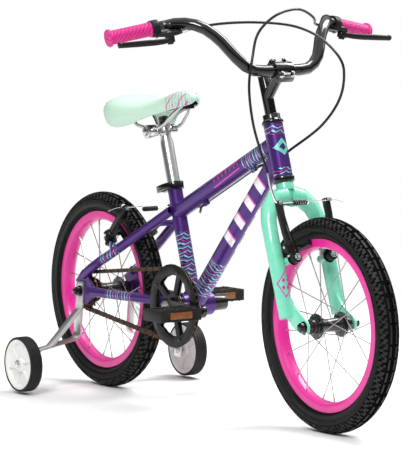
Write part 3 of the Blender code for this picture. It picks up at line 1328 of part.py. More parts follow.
def loft(rows):
    """A closed body through rows of points, capped at both ends."""
    bm = bmesh.new()
    made = [[bm.verts.new(point) for point in row] for row in rows]
    count = len(rows[0])
    for here, after in zip(made, made[1:]):
        for step in range(count):
            following = (step + 1) % count
            bm.faces.new([here[step], here[following], after[following], after[step]])
    bm.faces.new(made[0])
    bm.faces.new(made[-1])
    return bm


def cover_section(width, top, skirt):
    """The padded cover: a crowned top, drawn-in sides and the hollow below."""
    height = top - skirt
    under = top - min(COVER_THICKNESS, 0.55 * height)
    half = [
        (0.0, top), (0.42 * width, top - 0.03 * height), (0.74 * width, top - 0.14 * height),
        (0.93 * width, top - 0.33 * height), (width, top - 0.58 * height),
        (0.985 * width, top - 0.80 * height), (0.93 * width, skirt),
        (0.93 * width - 0.0035, skirt + 0.0005), (0.90 * width - 0.0045, under),
    ]
    return half + [(-y, z) for y, z in reversed(half[1:])]


def base_section(width, top, skirt):
    """The moulded base under the cover, with a lip round its edge."""
    height = top - skirt
    face = top - min(COVER_THICKNESS, 0.55 * height) - GAP
    lip = max(skirt + 0.0015, face - 0.012)
    side = 0.90 * width - 0.0053
    return [
        (side, face), (side, lip), (side - 0.0025, lip), (side - 0.0028, face - BASE_THICKNESS),
        (-side + 0.0028, face - BASE_THICKNESS), (-side + 0.0025, lip), (-side, lip), (-side, face),
    ]


def build_saddle():
    """Bolt and jaws, rails, moulded base and padded cover."""
    bolt_half = JAW_OUTER_FACE + 0.0055
    inside = bolt_half - 0.002
    solids = [cylinder((0, -inside, 0), (0, inside, 0), SADDLE_BOLT_RADIUS, 8)]
    for side in (-1, 1):
        solids.append(cylinder((0, side * JAW_INNER_FACE, 0), (0, side * JAW_OUTER_FACE, 0),
                               JAW_RADIUS, 12))
        solids.append(cylinder((0, side * (JAW_OUTER_FACE - 0.001), 0), (0, side * bolt_half, 0),
                               0.0075, 6))
    left = smooth_points(RAIL_ROUTE, 0.018) + [Vector((0.0965, 0.006, 0.0537))]
    right = [Vector((x, -y, z)) for x, y, z in reversed(left)]
    route = left + [Vector(RAIL_NOSE)] + right
    add_piece("saddle_clamp", SADDLE, "polished_steel", solids, rail_cuts(route))
    add_piece("saddle_rails", SADDLE, "zinc_steel",
              [swept(route, RAIL_RADIUS, 6, across=(0, 0, 1))])
    base_rows = saddle_rows(base_section)[1:-1]
    sockets = [block((RAIL_NOSE[0] - 0.001, 0, 0.0560), (0.018, 0.020, 0.0145))]
    for side in (-1, 1):
        end = Vector((RAIL_ROUTE[0][0] + 0.002, side * RAIL_ROUTE[0][1], RAIL_ROUTE[0][2]))
        sockets.append(cylinder(end - Vector((0, 0, 0.006)), end + Vector((0, 0, 0.0045)),
                                2 * RAIL_RADIUS, 8))
    add_piece("saddle_base", SADDLE, "black_plastic", [loft(base_rows)] + sockets,
              rail_cuts(route))
    add_piece("saddle_cover", SADDLE, "saddle_vinyl", [loft(saddle_rows(cover_section))], sharp=60)


def rail_cuts(route):
    """Grooves for the rails, in the jaws and in the base."""
    return [swept(route, RAIL_RADIUS + GAP, 6, across=(0, 0, 1))]


# Stabilisers

STRAP_ROUTE = [
    (0.002, 0.216), (-0.004, 0.170), (-0.0125, 0.116), (-0.014, 0.1065), (-0.015, 0.1005),
]


def build_stabilisers():
    """Bent strap bracket, brace, wheel and tyre on each side of the rear axle."""
    face = REAR_DROPOUT_OUTER + GAP + STRAP_THICKNESS / 2
    for label, side in (("right", -1), ("left", 1)):
        tab = STABILISER_OUTER_FACE - STABILISER_WIDTH - 0.0095
        route = [(x, side * face, z) for x, z in STRAP_ROUTE[:4]]
        route += [(STRAP_ROUTE[4][0], side * (face + 0.004), STRAP_ROUTE[4][1]),
                  (-0.0148, side * (face + 0.011), 0.0975),
                  (-0.0045, side * (tab - 0.014), 0.0835), (-0.0040, side * (tab - 0.004), 0.0795),
                  (-0.0038, side * tab, 0.0730), (STABILISER_X, side * tab, 0.0440)]
        brace = [(-0.006, side * (face + 0.001), 0.158),
                 (-0.0085, side * 0.131, 0.0885)]
        bolt_start = (STABILISER_X, side * (tab - 0.007), STABILISER_Z)
        bolt_end = (STABILISER_X, side * (STABILISER_OUTER_FACE + 0.0045), STABILISER_Z)
        nut_start = (STABILISER_X, side * (STABILISER_OUTER_FACE + GAP), STABILISER_Z)
        collar_start = (STABILISER_X, side * (tab - 0.0062), STABILISER_Z)
        collar_end = (STABILISER_X, side * (tab + 0.0050), STABILISER_Z)
        nut_end = (STABILISER_X, side * (STABILISER_OUTER_FACE + 0.0040), STABILISER_Z)
        slot_width = 2 * (REAR_AXLE_RADIUS + GAP)
        axle = (0, side * face, AXLE_HEIGHT)
        solids = [strap(route, STRAP_WIDTH, STRAP_THICKNESS),
                  strap(brace, STRAP_WIDTH - 0.0015, 0.0035),
                  cylinder(bolt_start, bolt_end, STABILISER_BOLT_RADIUS, 8),
                  cylinder(collar_start, collar_end, 0.0070, 6),
                  cylinder(nut_start, nut_end, 0.0065, 6)]
        cuts = [block(axle, (slot_width, 0.03, 2 * REAR_AXLE_RADIUS + 0.006)),
                block((-0.016, side * 0.0485, 0.150), (0.05, 0.02, 0.20))]
        add_piece(f"stabiliser_bracket_{label}", BIKE, "zinc_steel", solids, cuts)
        build_stabiliser_wheel(label, side)


def build_stabiliser_wheel(label, side):
    """Moulded disc with a hub, and the ribbed tyre round it."""
    centre = side * (STABILISER_OUTER_FACE - STABILISER_WIDTH / 2)
    place = Vector((STABILISER_X, centre, STABILISER_Z))
    axis = Frame(f"stabiliser_axis_{label}", Matrix.Translation(place) @ SIDEWAYS, BIKE)
    half = STABILISER_WIDTH / 2
    bore = STABILISER_BOLT_RADIUS + GAP
    rim = STABILISER_RADIUS - STABILISER_TREAD - GAP
    outline = [
        (bore, -half + 0.0005), (0.013, -half + 0.0005), (0.017, -half + 0.005),
        (rim - 0.006, -half + 0.006), (rim, -half + 0.001),
        (rim, half - 0.001), (rim - 0.006, half - 0.006),
        (0.017, half - 0.005), (0.013, half - 0.0005), (bore, half - 0.0005),
    ]
    add_piece(f"stabiliser_wheel_{label}", axis, "white_plastic",
              [turned(outline, STABILISER_SIDES)])
    tread = STABILISER_RADIUS
    inner = rim + GAP
    outline = [(inner, -half), (tread - 0.001, -half), (tread, 0), (tread - 0.001, half),
               (inner, half)]
    add_piece(f"stabiliser_tyre_{label}", axis, "tyre_rubber",
              [turned(outline, STABILISER_SIDES)])


# Brake cables, drawn in the world's own coordinates

# Each point: its share of the way from the cable's lower end to its upper one, and its
# offset in metres from the point that far along, so that the bends follow both ends.
FRONT_CABLE_ROUTE = [
    (1.00, -0.03856, 0.09900, 0.09642), (1.00, -0.00956, 0.04500, 0.11142),
    (1.00, 0.00144, -0.01200, 0.10142), (1.00, -0.00106, -0.05000, 0.06992),
    (0.85, 0.00188, -0.06098, 0.05184), (0.65, -0.00669, -0.05628, 0.03589),
    (0.40, -0.00729, -0.04040, 0.02009), (0.20, -0.00086, -0.02270, 0.00665),
]
REAR_LOOP_ROUTE = [
    (1.00, -0.05356, -0.09000, 0.08742), (1.00, -0.03056, -0.03000, 0.08842),
    (1.00, -0.00406, 0.03000, 0.08112), (1.00, 0.02944, 0.06500, 0.06042),
    (0.85, 0.07439, 0.08500, 0.05152), (0.70, 0.09135, 0.09200, 0.04562),
    (0.50, 0.09597, 0.08800, 0.03525), (0.30, 0.08358, 0.06600, 0.02288),
    (0.10, 0.03319, 0.04200, 0.01262), (0.00, 0.02050, 0.02600, 0.01208),
]
REAR_RUN_ROUTE = [
    (0.00, -0.02796, 0.01500, -0.01322), (0.15, -0.03097, 0.02160, -0.00774),
    (0.40, -0.02733, 0.02360, -0.00210), (0.75, -0.01002, 0.01300, 0.00020),
]


def cable_bends(route, start, end):
    """A cable's bends between its two ends, from a table of shares and offsets."""
    return [start.lerp(end, share) + Vector(offset) for share, *offset in route]


def arm_plane(leg_offset, post_length):
    """Middle of a brake arm's thickness, in a brake frame."""
    return leg_offset + post_length + GAP + BRAKE_BOSS_LENGTH / 2


def build_cables():
    """The front cable, the rear cable's steering loop and its run to the brake."""
    adjuster = Vector((0.026, -0.044 - ADJUSTER_LENGTH - GAP,
                       LEVER_PIVOT_DROP + LEVER_BOSS_HEIGHT / 2 + GAP + 0.0035))
    lead = adjuster - Vector((0, CABLE_LEAD, 0))
    lever_left = [BAR.world @ (grip_frame(1) @ point) for point in (adjuster, lead)]
    lever_right = [BAR.world @ (grip_frame(-1) @ point) for point in (adjuster, lead)]
    end = FRONT_BRAKE.world @ noodle_end(arm_plane(LEG_OFFSET_FROM_AXLE, FRONT_POST_LENGTH),
                                         FRONT_PIVOT_HEIGHT + BRAKE_ARM_LENGTH,
                                         FRONT_NOODLE_ROUTE)
    add_cable("front_brake_cable", STEERING,
              lever_left + cable_bends(FRONT_CABLE_ROUTE, end, BAR.world.translation)
              + [end + Vector((-0.0003, 0, GAP + 0.0004))])
    rear_stop, front_stop = CABLE_STOPS_FROM_SEAT_TUBE
    clear = 0.5 + GAP / CABLE_STOP_LENGTH
    lead = CABLE_LEAD / CABLE_STOP_LENGTH
    lead_in = stop_point(front_stop, clear + lead)
    add_cable("rear_brake_cable_loop", BIKE,
              lever_right + cable_bends(REAR_LOOP_ROUTE, lead_in, BAR.world.translation)
              + [lead_in, stop_point(front_stop, clear)])
    end = REAR_BRAKE.world @ noodle_end(arm_plane(STAY_OFFSET_FROM_AXLE, REAR_POST_LENGTH),
                                        REAR_PIVOT_HEIGHT + BRAKE_ARM_LENGTH,
                                        REAR_NOODLE_ROUTE)
    lead_out = stop_point(rear_stop, -clear - lead)
    add_cable("rear_brake_cable_run", BIKE,
              [stop_point(rear_stop, -clear), lead_out]
              + cable_bends(REAR_RUN_ROUTE, lead_out, end) + [end + Vector((0.0007, 0, 0))],
              bare=[stop_point(front_stop, 0.4), stop_point(rear_stop, -clear + 0.022)])


build_main_tubes()
build_rear_triangle()
build_fork()
build_headset()
build_stem()
build_handlebar()
build_levers()
build_brake("front", FRONT_BRAKE, LEG_OFFSET_FROM_AXLE, FRONT_POST_LENGTH, FRONT_PIVOT_HEIGHT,
            {-1: "right", 1: "left"})
build_brake("rear", REAR_BRAKE, STAY_OFFSET_FROM_AXLE, REAR_POST_LENGTH, REAR_PIVOT_HEIGHT,
            {-1: "left", 1: "right"})
build_wheels()
build_chain()
build_drive()
build_seatpost()
build_seat_clamp()
build_saddle()
build_stabilisers()
build_cables()
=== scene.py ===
"""Looks of a child's bike: finishes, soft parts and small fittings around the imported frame."""

import json
import math

import bpy
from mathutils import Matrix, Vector

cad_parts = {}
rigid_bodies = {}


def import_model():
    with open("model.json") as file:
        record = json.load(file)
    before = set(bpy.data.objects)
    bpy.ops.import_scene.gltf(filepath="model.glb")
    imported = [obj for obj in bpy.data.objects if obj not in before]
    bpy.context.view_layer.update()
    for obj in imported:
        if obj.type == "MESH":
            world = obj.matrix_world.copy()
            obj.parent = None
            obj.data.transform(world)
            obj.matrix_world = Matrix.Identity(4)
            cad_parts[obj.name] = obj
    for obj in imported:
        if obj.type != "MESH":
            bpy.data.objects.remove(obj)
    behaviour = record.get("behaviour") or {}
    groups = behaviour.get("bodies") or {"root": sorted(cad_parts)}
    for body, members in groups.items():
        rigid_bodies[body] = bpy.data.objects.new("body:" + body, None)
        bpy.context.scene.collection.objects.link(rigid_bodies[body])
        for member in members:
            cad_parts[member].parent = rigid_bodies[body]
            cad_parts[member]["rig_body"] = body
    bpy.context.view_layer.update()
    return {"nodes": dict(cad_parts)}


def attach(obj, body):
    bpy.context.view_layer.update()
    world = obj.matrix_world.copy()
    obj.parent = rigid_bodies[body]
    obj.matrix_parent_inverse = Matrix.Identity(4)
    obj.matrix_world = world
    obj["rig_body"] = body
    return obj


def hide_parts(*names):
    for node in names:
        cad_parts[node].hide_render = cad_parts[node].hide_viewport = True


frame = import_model()


# The studio: a pale floor that fades into a white backdrop, three broad soft lamps and
# a weak sky, with the camera where the photographer stood, low and ahead on the right.

class Nodes:
    """A node tree being filled, for a finish or for the sky."""

    def __init__(self, tree):
        self.tree = tree

    def give(self, socket, value):
        """Link a value to a socket, or set a plain number, colour or direction on it."""
        if isinstance(value, Value):
            self.tree.links.new(value.socket, socket)
        elif isinstance(value, tuple) and socket.type == "RGBA":
            socket.default_value = (*value, 1.0)
        else:
            socket.default_value = value

    def feed(self, node, **sockets):
        """Give a node's sockets their values or links, named with _ for a space."""
        for name, value in sockets.items():
            self.give(node.inputs[name.replace("_", " ")], value)

    def node(self, kind, settings=None, output=0, inputs=(), **sockets):
        """Add any node: its settings first, then its sockets, in their order or by name."""
        made = self.tree.nodes.new("ShaderNode" + kind)
        for name, value in (settings or {}).items():
            if name == "stops":
                stops = made.color_ramp.elements
                while len(stops) < len(value):
                    stops.new(0.5)
                for stop, (place, colour) in zip(stops, value):
                    stop.position = place
                    stop.color = (*colour, 1.0)
            elif name == "interpolation":
                made.color_ramp.interpolation = value
            else:
                setattr(made, name, value)
        for socket, value in zip(made.inputs, inputs):
            self.give(socket, value)
        self.feed(made, **sockets)
        return Value(self, made.outputs[output])

    def rays(self, *kinds):
        """1 for light rays of the given kinds, else 0."""
        found = sum(self.node("LightPath", output=f"Is {kind} Ray") for kind in kinds)
        return found.maths("MINIMUM", 1.0)


class Finish(Nodes):
    """A material being made: its shader, and the nodes that feed it."""

    def __init__(self, name, **sockets):
        self.material = bpy.data.materials.new(name)
        self.material.use_nodes = True
        super().__init__(self.material.node_tree)
        self.shader = self.tree.nodes["Principled BSDF"]
        self.look(**sockets)

    def look(self, **sockets):
        """Give the shader's own sockets their values or links."""
        self.feed(self.shader, **sockets)

    def place(self):
        """Where a point of the piece is, in the bike's own metres."""
        return self.node("TexCoord", output="Object")

    def coordinate(self, axis):
        """One of the three numbers of a point's place: X ahead, Y to the left, Z up."""
        return self.node("SeparateXYZ", output=axis, Vector=self.place())

    def along(self, start, direction):
        """How far a point lies along a line from start."""
        direction = Vector(direction).normalized()
        reach = self.node("VectorMath", {"operation": "DOT_PRODUCT"}, "Value",
                          (self.place(), direction))
        return reach - Vector(start).dot(direction)

    def noise(self, scale, detail=2.0, place=None):
        """Cloudy variation from 0 to 1, at so many lumps a metre."""
        return self.node("TexNoise", Vector=place or self.place(), Scale=scale, Detail=detail)

    def mix(self, share, first, second):
        """A colour between two, by a share from 0 to 1."""
        made = self.tree.nodes.new("ShaderNodeMix")
        made.data_type = "RGBA"
        for number, value in ((0, share), (6, first), (7, second)):
            self.give(made.inputs[number], value)
        return Value(self, made.outputs[2])

    def bump(self, height, depth, strength=1.0):
        """Relief of a real depth in metres, fed to the shader's normal."""
        self.look(Normal=self.node("Bump", Height=height, Distance=depth, Strength=strength))


class Value:
    """A number or colour in a node tree; sums with it add nodes."""

    def __init__(self, nodes, socket):
        self.nodes = nodes
        self.socket = socket

    def maths(self, operation, other=0.0, turned=False):
        """One Math node on this value and another, or on the two turned round."""
        pair = (other, self) if turned else (self, other)
        return self.nodes.node("Math", {"operation": operation}, inputs=pair)

    def __add__(self, other):
        return self.maths("ADD", other)

    def __radd__(self, other):
        return self.maths("ADD", other, True)

    def __sub__(self, other):
        return self.maths("SUBTRACT", other)

    def __mul__(self, other):
        return self.maths("MULTIPLY", other)

    def __rmul__(self, other):
        return self.maths("MULTIPLY", other, True)

    def __truediv__(self, other):
        return self.maths("DIVIDE", other)

    def __gt__(self, other):
        return self.maths("GREATER_THAN", other)

    def __lt__(self, other):
        return self.maths("LESS_THAN", other)

    def __abs__(self):
        return self.maths("ABSOLUTE")

    def fraction(self):
        """The part after the point, which makes a value repeat."""
        return self.maths("FRACT")

    def between(self, low, high):
        """1 where the value lies between two numbers, else 0."""
        return (self > low) * (self < high)


def pick(piece):
    """Leave one piece selected and active."""
    bpy.ops.object.select_all(action="DESELECT")
    piece.select_set(True)
    bpy.context.view_layer.objects.active = piece


def named(name, finish):
    """Name the piece just made, settle its place into its mesh and give its finish."""
    piece = bpy.context.object
    pick(piece)
    bpy.ops.object.transform_apply(location=True, rotation=True, scale=True)
    piece.name = name
    piece.data.name = name
    piece.data.materials.clear()
    piece.data.materials.append(finish.material)
    return piece


WHITE = (1.0, 1.0, 1.0)
WHEELBASE = 0.76
FLOOR_RADIUS = 14.0
FLOOR_HEIGHT = -0.0014
FADE_START = 0.95
FADE_END = 1.9
bpy.ops.object.select_all(action="DESELECT")
bpy.ops.mesh.primitive_circle_add(vertices=96, radius=FLOOR_RADIUS, fill_type="NGON",
                                  location=(WHEELBASE / 2, 0, FLOOR_HEIGHT))
floor_paint = Finish("studio_floor", Roughness=0.85, Specular_IOR_Level=0.15)
floor_paint.look(Base_Color=floor_paint.mix(floor_paint.noise(6.0, 3.0), (0.93, 0.93, 0.93),
                                            (0.95, 0.95, 0.95)))
floor = named("studio_floor", floor_paint)
far_off = floor_paint.node("VectorMath", {"operation": "LENGTH"}, "Value", (floor_paint.place(),))
fade = floor_paint.node("MapRange", {"interpolation_type": "SMOOTHSTEP"}, Value=far_off,
                        From_Min=FADE_START, From_Max=FADE_END, To_Min=0.0, To_Max=1.0)
lit = Value(floor_paint, floor_paint.shader.outputs[0])
white = floor_paint.node("Emission", Color=WHITE, Strength=1.0)
seen = floor_paint.node("MixShader", inputs=(
    fade * floor_paint.rays("Camera", "Glossy", "Transmission"), lit, white))
floor_paint.feed(floor_paint.tree.nodes["Material Output"], Surface=seen)

# How bright the sky is from straight down, at 0, to straight up, at 1.
SKY_TONES = ((0.47, 0.16), (0.56, 0.06), (0.68, 0.22), (0.86, 1.0))
world = bpy.data.worlds.new("studio_sky")
world.use_nodes = True
bpy.context.scene.world = world
sky = Nodes(world.node_tree)
level = sky.node("SeparateXYZ", output="Z", Vector=sky.node("TexCoord", output="Generated"))
panels = sky.node("ValToRGB", {"stops": [(place, (tone, tone, tone)) for place, tone in SKY_TONES]},
                  Fac=level * 0.5 + 0.5)
lit = sky.node("Background", Color=panels, Strength=0.95)
white = sky.node("Background", Color=WHITE, Strength=1.0)
seen = sky.node("MixShader", inputs=(sky.rays("Camera"), lit, white))
sky.feed(sky.tree.nodes["World Output"], Surface=seen)

BIKE_MIDDLE = Vector((WHEELBASE / 2, 0, 0.30))
for name, place, width, depth, power in (
        ("key_lamp", (1.9, -1.9, 2.3), 0.9, 0.9, 52.0),
        ("fill_lamp", (0.4, 2.2, 1.8), 1.4, 1.4, 9.0),
        ("panel_lamp", (0.42, 1.15, 2.25), 0.9, 1.5, 50.0)):
    bpy.ops.object.light_add(type="AREA", location=place)
    lamp = bpy.context.object
    lamp.name = name
    lamp.data.shape = "ELLIPSE" if width == depth else "RECTANGLE"
    lamp.data.size = width
    lamp.data.size_y = depth
    lamp.data.energy = power
    aim = BIKE_MIDDLE - Vector(place)
    lamp.rotation_euler = aim.to_track_quat("-Z", "Y").to_euler()

bpy.ops.object.camera_add(location=(5.231, -3.2471, 0.8766),
                          rotation=[math.radians(turn) for turn in (84.8635, 0.4575, 56.3534)])
camera = bpy.context.object
camera.name = "photograph_camera"
camera.data.sensor_width = 36.0
camera.data.lens = 245.294
camera.data.clip_end = 60.0
bpy.context.scene.camera = camera
bpy.context.scene.view_settings.view_transform = "Standard"


# Frame tubes: steel tubes welded at their mitres and painted satin metallic purple. Under
# the lacquer lie bands of slanted bars in mint, lilac, blue and pink, white bars on the
# down tube, a pink zigzag on the top tube and a mint diamond on the head tube.

PURPLE = (0.086, 0.020, 0.225)
DEEP_PURPLE = (0.036, 0.008, 0.108)
FADED_PURPLE = (0.13, 0.048, 0.30)
BAR_EDGE_PINK = (0.78, 0.10, 0.50)
BADGE_MINT = (0.20, 0.72, 0.60)
BAND_COLOURS = [
    (0.00, (0.040, 0.018, 0.130)), (0.20, (0.26, 0.70, 0.62)), (0.29, (0.16, 0.10, 0.36)),
    (0.42, (0.025, 0.030, 0.14)), (0.58, (0.20, 0.45, 0.62)), (0.66, (0.60, 0.58, 0.76)),
    (0.72, (0.055, 0.020, 0.16)), (0.93, (0.62, 0.05, 0.36)),
]


def banded(paint, colour, along, around, bands):
    """Bands of bars in two slants, each band from and to a distance along the tube."""
    slant = (along * 42.0 + around * 30.0).fraction()
    cross = (along * 31.0 - around * 55.0).fraction()
    steps = {"stops": BAND_COLOURS, "interpolation": "CONSTANT"}
    first = paint.node("ValToRGB", steps, Fac=slant)
    second = paint.node("ValToRGB", steps, Fac=(slant + cross).fraction())
    pattern = paint.mix(cross > 0.52, first, second)
    for low, high in bands:
        colour = paint.mix(along.between(low, high), colour, pattern)
    return colour


def barred(paint, colour, along, around, low, high, pitch, tint):
    """Slanted bars with a pink edge, on the two sides of a tube."""
    slanted = along + around * 0.8
    step = ((slanted - low) / pitch).fraction()
    shown = slanted.between(low, high) * (abs(around) > 0.0062)
    colour = paint.mix(step.between(0.25, 0.62) * shown, colour, tint)
    return paint.mix(step.between(0.62, 0.70) * shown, colour, BAR_EDGE_PINK)


def zigzagged(paint, colour, along, rise, low, high, pitch, tint):
    """A zigzag with a plain line under it."""
    teeth = abs(((along - low) / pitch).fraction() - 0.5)
    zigzag = abs(rise - 0.001 - teeth * 0.026) < 0.0021
    under = abs(rise + 0.0085 - (along - low) * 0.03) < 0.0011
    return paint.mix(zigzag.maths("MAXIMUM", under) * along.between(low, high), colour, tint)


def tube_paint(name, start, direction, bands=(), bars=None, zigzag=None, badge=None):
    """Purple lacquer for one tube, over prints at given distances along it."""
    paint = Finish(name, Metallic=0.45, Specular_IOR_Level=0.35, Coat_Weight=0.30,
                   Coat_Roughness=0.14)
    flake = paint.noise(5200.0, 1.0)
    along = paint.along(start, direction)
    around = paint.coordinate("Y")
    colour = paint.mix(flake, DEEP_PURPLE, PURPLE)
    colour = paint.mix(paint.noise(14.0, 3.0) * 0.25, colour, FADED_PURPLE)
    if bands:
        colour = banded(paint, colour, along, around, bands)
    if bars:
        colour = barred(paint, colour, along, around, *bars)
    if zigzag:
        rise = paint.along(start, (-direction.z, 0, direction.x))
        colour = zigzagged(paint, colour, along, rise, *zigzag)
    if badge:
        front = paint.along(start, (direction.z, 0, -direction.x)) > 0.0
        off_centre = abs(around) + abs(along - badge)
        colour = paint.mix(off_centre.between(0.0075, 0.0165) * front, colour, BADGE_MINT)
    paint.look(Base_Color=colour, Roughness=0.27 + 0.08 * paint.noise(60.0, 2.0) + flake * 0.04)
    paint.bump(flake, 0.00003)
    return paint


def stand_for(piece, node):
    """Show a piece in a CAD node's place, on its body, with the node hidden."""
    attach(piece, frame["nodes"][node]["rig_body"])
    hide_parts(node)


def finished(node, finish, angle=34, bevel=0.0):
    """A piece with a CAD node's own shape, welded, edge-rounded and shaded smooth."""
    piece = bpy.data.objects.new(f"{node}_finished", frame["nodes"][node].data.copy())
    bpy.context.scene.collection.objects.link(piece)
    pick(piece)
    bpy.ops.object.mode_set(mode="EDIT")
    bpy.ops.mesh.select_all(action="SELECT")
    bpy.ops.mesh.remove_doubles(threshold=0.000005)
    bpy.ops.mesh.dissolve_limited(angle_limit=math.radians(0.5))
    bpy.ops.object.mode_set(mode="OBJECT")
    if bevel:
        edge = piece.modifiers.new("worn_edge", "BEVEL")
        edge.width = bevel
        edge.segments = 2
        edge.limit_method = "ANGLE"
        edge.angle_limit = math.radians(38)
        bpy.ops.object.modifier_apply(modifier=edge.name)
    bpy.ops.object.shade_smooth_by_angle(angle=math.radians(angle))
    piece.data.materials.clear()
    piece.data.materials.append(finish.material)
    stand_for(piece, node)
    return piece


AXLE_HEIGHT = 0.195753
AXLES = {"front": Vector((WHEELBASE, 0, AXLE_HEIGHT)), "rear": Vector((0, 0, AXLE_HEIGHT))}
HEAD_ANGLE = math.radians(71.5)
SEAT_ANGLE = math.radians(73.0)
FORK_RAKE = 0.050
HEAD_TUBE_BOTTOM = 0.2915
STEER = Vector((-math.cos(HEAD_ANGLE), 0, math.sin(HEAD_ANGLE)))
SQUARE_TO_STEER = Vector((math.sin(HEAD_ANGLE), 0, math.cos(HEAD_ANGLE)))
STEER_FOOT = AXLES["front"] - SQUARE_TO_STEER * FORK_RAKE
SEAT = Vector((-math.cos(SEAT_ANGLE), 0, math.sin(SEAT_ANGLE)))
BRACKET = Vector((0.321, 0, 0.194))
TUBES = {
    "head_tube": {"start": STEER_FOOT + STEER * HEAD_TUBE_BOTTOM, "direction": STEER,
                  "bands": [(0.0045, 0.016), (0.079, 0.098)], "badge": 0.055},
    "seat_tube": {"start": BRACKET, "direction": SEAT, "bands": [(0.030, 0.142)]},
    "top_tube": {"start": (0.2673, 0, 0.3696), "direction": Vector((0.9108, 0, 0.4130)),
                 "bands": [(0.262, 0.338)], "zigzag": (0.155, 0.250, 0.0145, (0.74, 0.04, 0.46))},
    "down_tube": {"start": BRACKET, "direction": Vector((0.6887, 0, 0.7251)),
                  "bands": [(0.040, 0.132)], "bars": (0.165, 0.365, 0.0485, (0.86, 0.82, 0.86))},
    "bottom_bracket_shell": {"start": BRACKET, "direction": Vector((0, 1, 0))},
}
for node, prints in TUBES.items():
    finished(node, tube_paint(f"{node}_paint", **prints))
for side in ("right", "left"):
    for stay, band in (("chainstay", (0.088, 0.165)), ("seatstay", (0.073, 0.122))):
        node = f"{stay}_{side}"
        finished(node, tube_paint(f"{node}_paint", (0, 0, 0), Vector((1, 0, 0)), [band]))


# Headset and fork: pressed steel cups painted gloss black, and a fork of bent tapered
# legs in mint enamel, with a plain pink diamond as the mark on its right leg.

def gloss_black(name, tone=0.003, roughness=0.13):
    """Black enamel with faint orange peel and dust in it."""
    paint = Finish(name, Specular_IOR_Level=0.20, Coat_Weight=0.80, Coat_Roughness=0.05)
    dust = paint.noise(90.0, 4.0)
    clean = (tone, tone, tone * 1.05)
    dusty = (tone * 2.2, tone * 2.1, tone * 2)
    paint.look(Base_Color=paint.mix(dust, clean, dusty), Roughness=roughness + 0.10 * dust)
    paint.bump(paint.noise(900.0, 1.0), 0.00002)
    return paint


def plated(name, colour, roughness, streak=(1.0, 1.0, 1.0)):
    """Bare or plated metal with fine drawn streaks and a few dull spots."""
    metal = Finish(name, Metallic=1.0)
    stretched = metal.node("Mapping", {"vector_type": "POINT"}, Vector=metal.place(),
                           Scale=streak)
    grain = metal.noise(700.0, 3.0, stretched)
    spots = metal.noise(55.0, 4.0)
    dull = tuple(part * 0.80 for part in colour)
    metal.look(Base_Color=metal.mix(spots * 0.6, colour, dull),
               Roughness=roughness + 0.10 * grain + 0.06 * spots)
    metal.bump(grain, 0.00001)
    return metal


LEG_MARK = Vector((0.6965, -0.050, 0.271))
MARK_PINK = (0.62, 0.020, 0.42)
black_enamel = gloss_black("black_enamel")
mint_enamel = Finish("mint_enamel", Coat_Weight=0.45, Coat_Roughness=0.08)
mint = mint_enamel.mix(mint_enamel.noise(20.0, 3.0), (0.175, 0.660, 0.460), (0.220, 0.710, 0.510))
beside = abs(mint_enamel.along(LEG_MARK, (0.53, 0.85, 0.0)))
above = abs(mint_enamel.coordinate("Z") - LEG_MARK.z) * 0.68
outline = (beside + above).between(0.0145, 0.0172)
squares = (abs(beside - 0.0044) + abs(above - 0.0044)) < 0.0034
outside = mint_enamel.along(LEG_MARK, (0.85, -0.53, 0.0)) > 0.001
right_leg = mint_enamel.coordinate("Y") < -0.030
mark = outline.maths("MAXIMUM", squares) * outside * right_leg
mint_enamel.look(Base_Color=mint_enamel.mix(mark, mint, MARK_PINK),
                 Roughness=0.24 + 0.08 * mint_enamel.noise(45.0, 3.0))
mint_enamel.bump(mint_enamel.noise(700.0, 1.0), 0.00002)
finished("fork", mint_enamel, bevel=0.0006)
for node in ("headset_lower", "headset_upper"):
    finished(node, black_enamel, bevel=0.0006)


# Stem and bar: a welded steel quill stem whose split clamp holds a bent steel bar,
# both gloss black, with four plated bolts through the clamp's ears.

for node in ("stem", "stem_clamp_cap"):
    finished(node, black_enamel, bevel=0.0005)
finished("handlebar", black_enamel)


def drum(start, end, radius, sides=20, edge=0.0004):
    """A turned pin, nut or sleeve between two points, with broken edges."""
    start = Vector(start)
    end = Vector(end)
    bpy.ops.mesh.primitive_cylinder_add(
        vertices=sides, radius=radius, depth=(end - start).length, location=(start + end) / 2,
        rotation=(end - start).to_track_quat("Z", "Y").to_euler())
    piece = bpy.context.object
    if edge:
        broken = piece.modifiers.new("broken_edge", "BEVEL")
        broken.width = edge
        broken.segments = 2
        broken.limit_method = "ANGLE"
        broken.angle_limit = math.radians(50)
        pick(piece)
        bpy.ops.object.modifier_apply(modifier=broken.name)
    return piece


def choose_faces(piece, wanted):
    """Enter edit mode with only those faces selected that a test picks."""
    pick(piece)
    bpy.ops.object.mode_set(mode="EDIT")
    bpy.ops.mesh.select_mode(type="FACE")
    bpy.ops.mesh.select_all(action="DESELECT")
    bpy.ops.object.mode_set(mode="OBJECT")
    for face in piece.data.polygons:
        face.select = wanted(face)
    bpy.ops.object.mode_set(mode="EDIT")


def bolt(place, direction, radius, height):
    """A hexagon bolt head with a socket sunk in its face."""
    place = Vector(place)
    direction = Vector(direction).normalized()
    piece = drum(place, place + direction * height, radius, 6, 0.0003)
    bpy.ops.object.transform_apply(location=True, rotation=True, scale=True)
    top = max(face.center.dot(direction) for face in piece.data.polygons)
    choose_faces(piece, lambda face: face.center.dot(direction) > top - 0.000001)
    bpy.ops.mesh.inset(thickness=radius * 0.38)
    bpy.ops.mesh.extrude_region_move(
        TRANSFORM_OT_translate={"value": tuple(-direction * height * 0.5)})
    bpy.ops.object.mode_set(mode="OBJECT")
    return piece


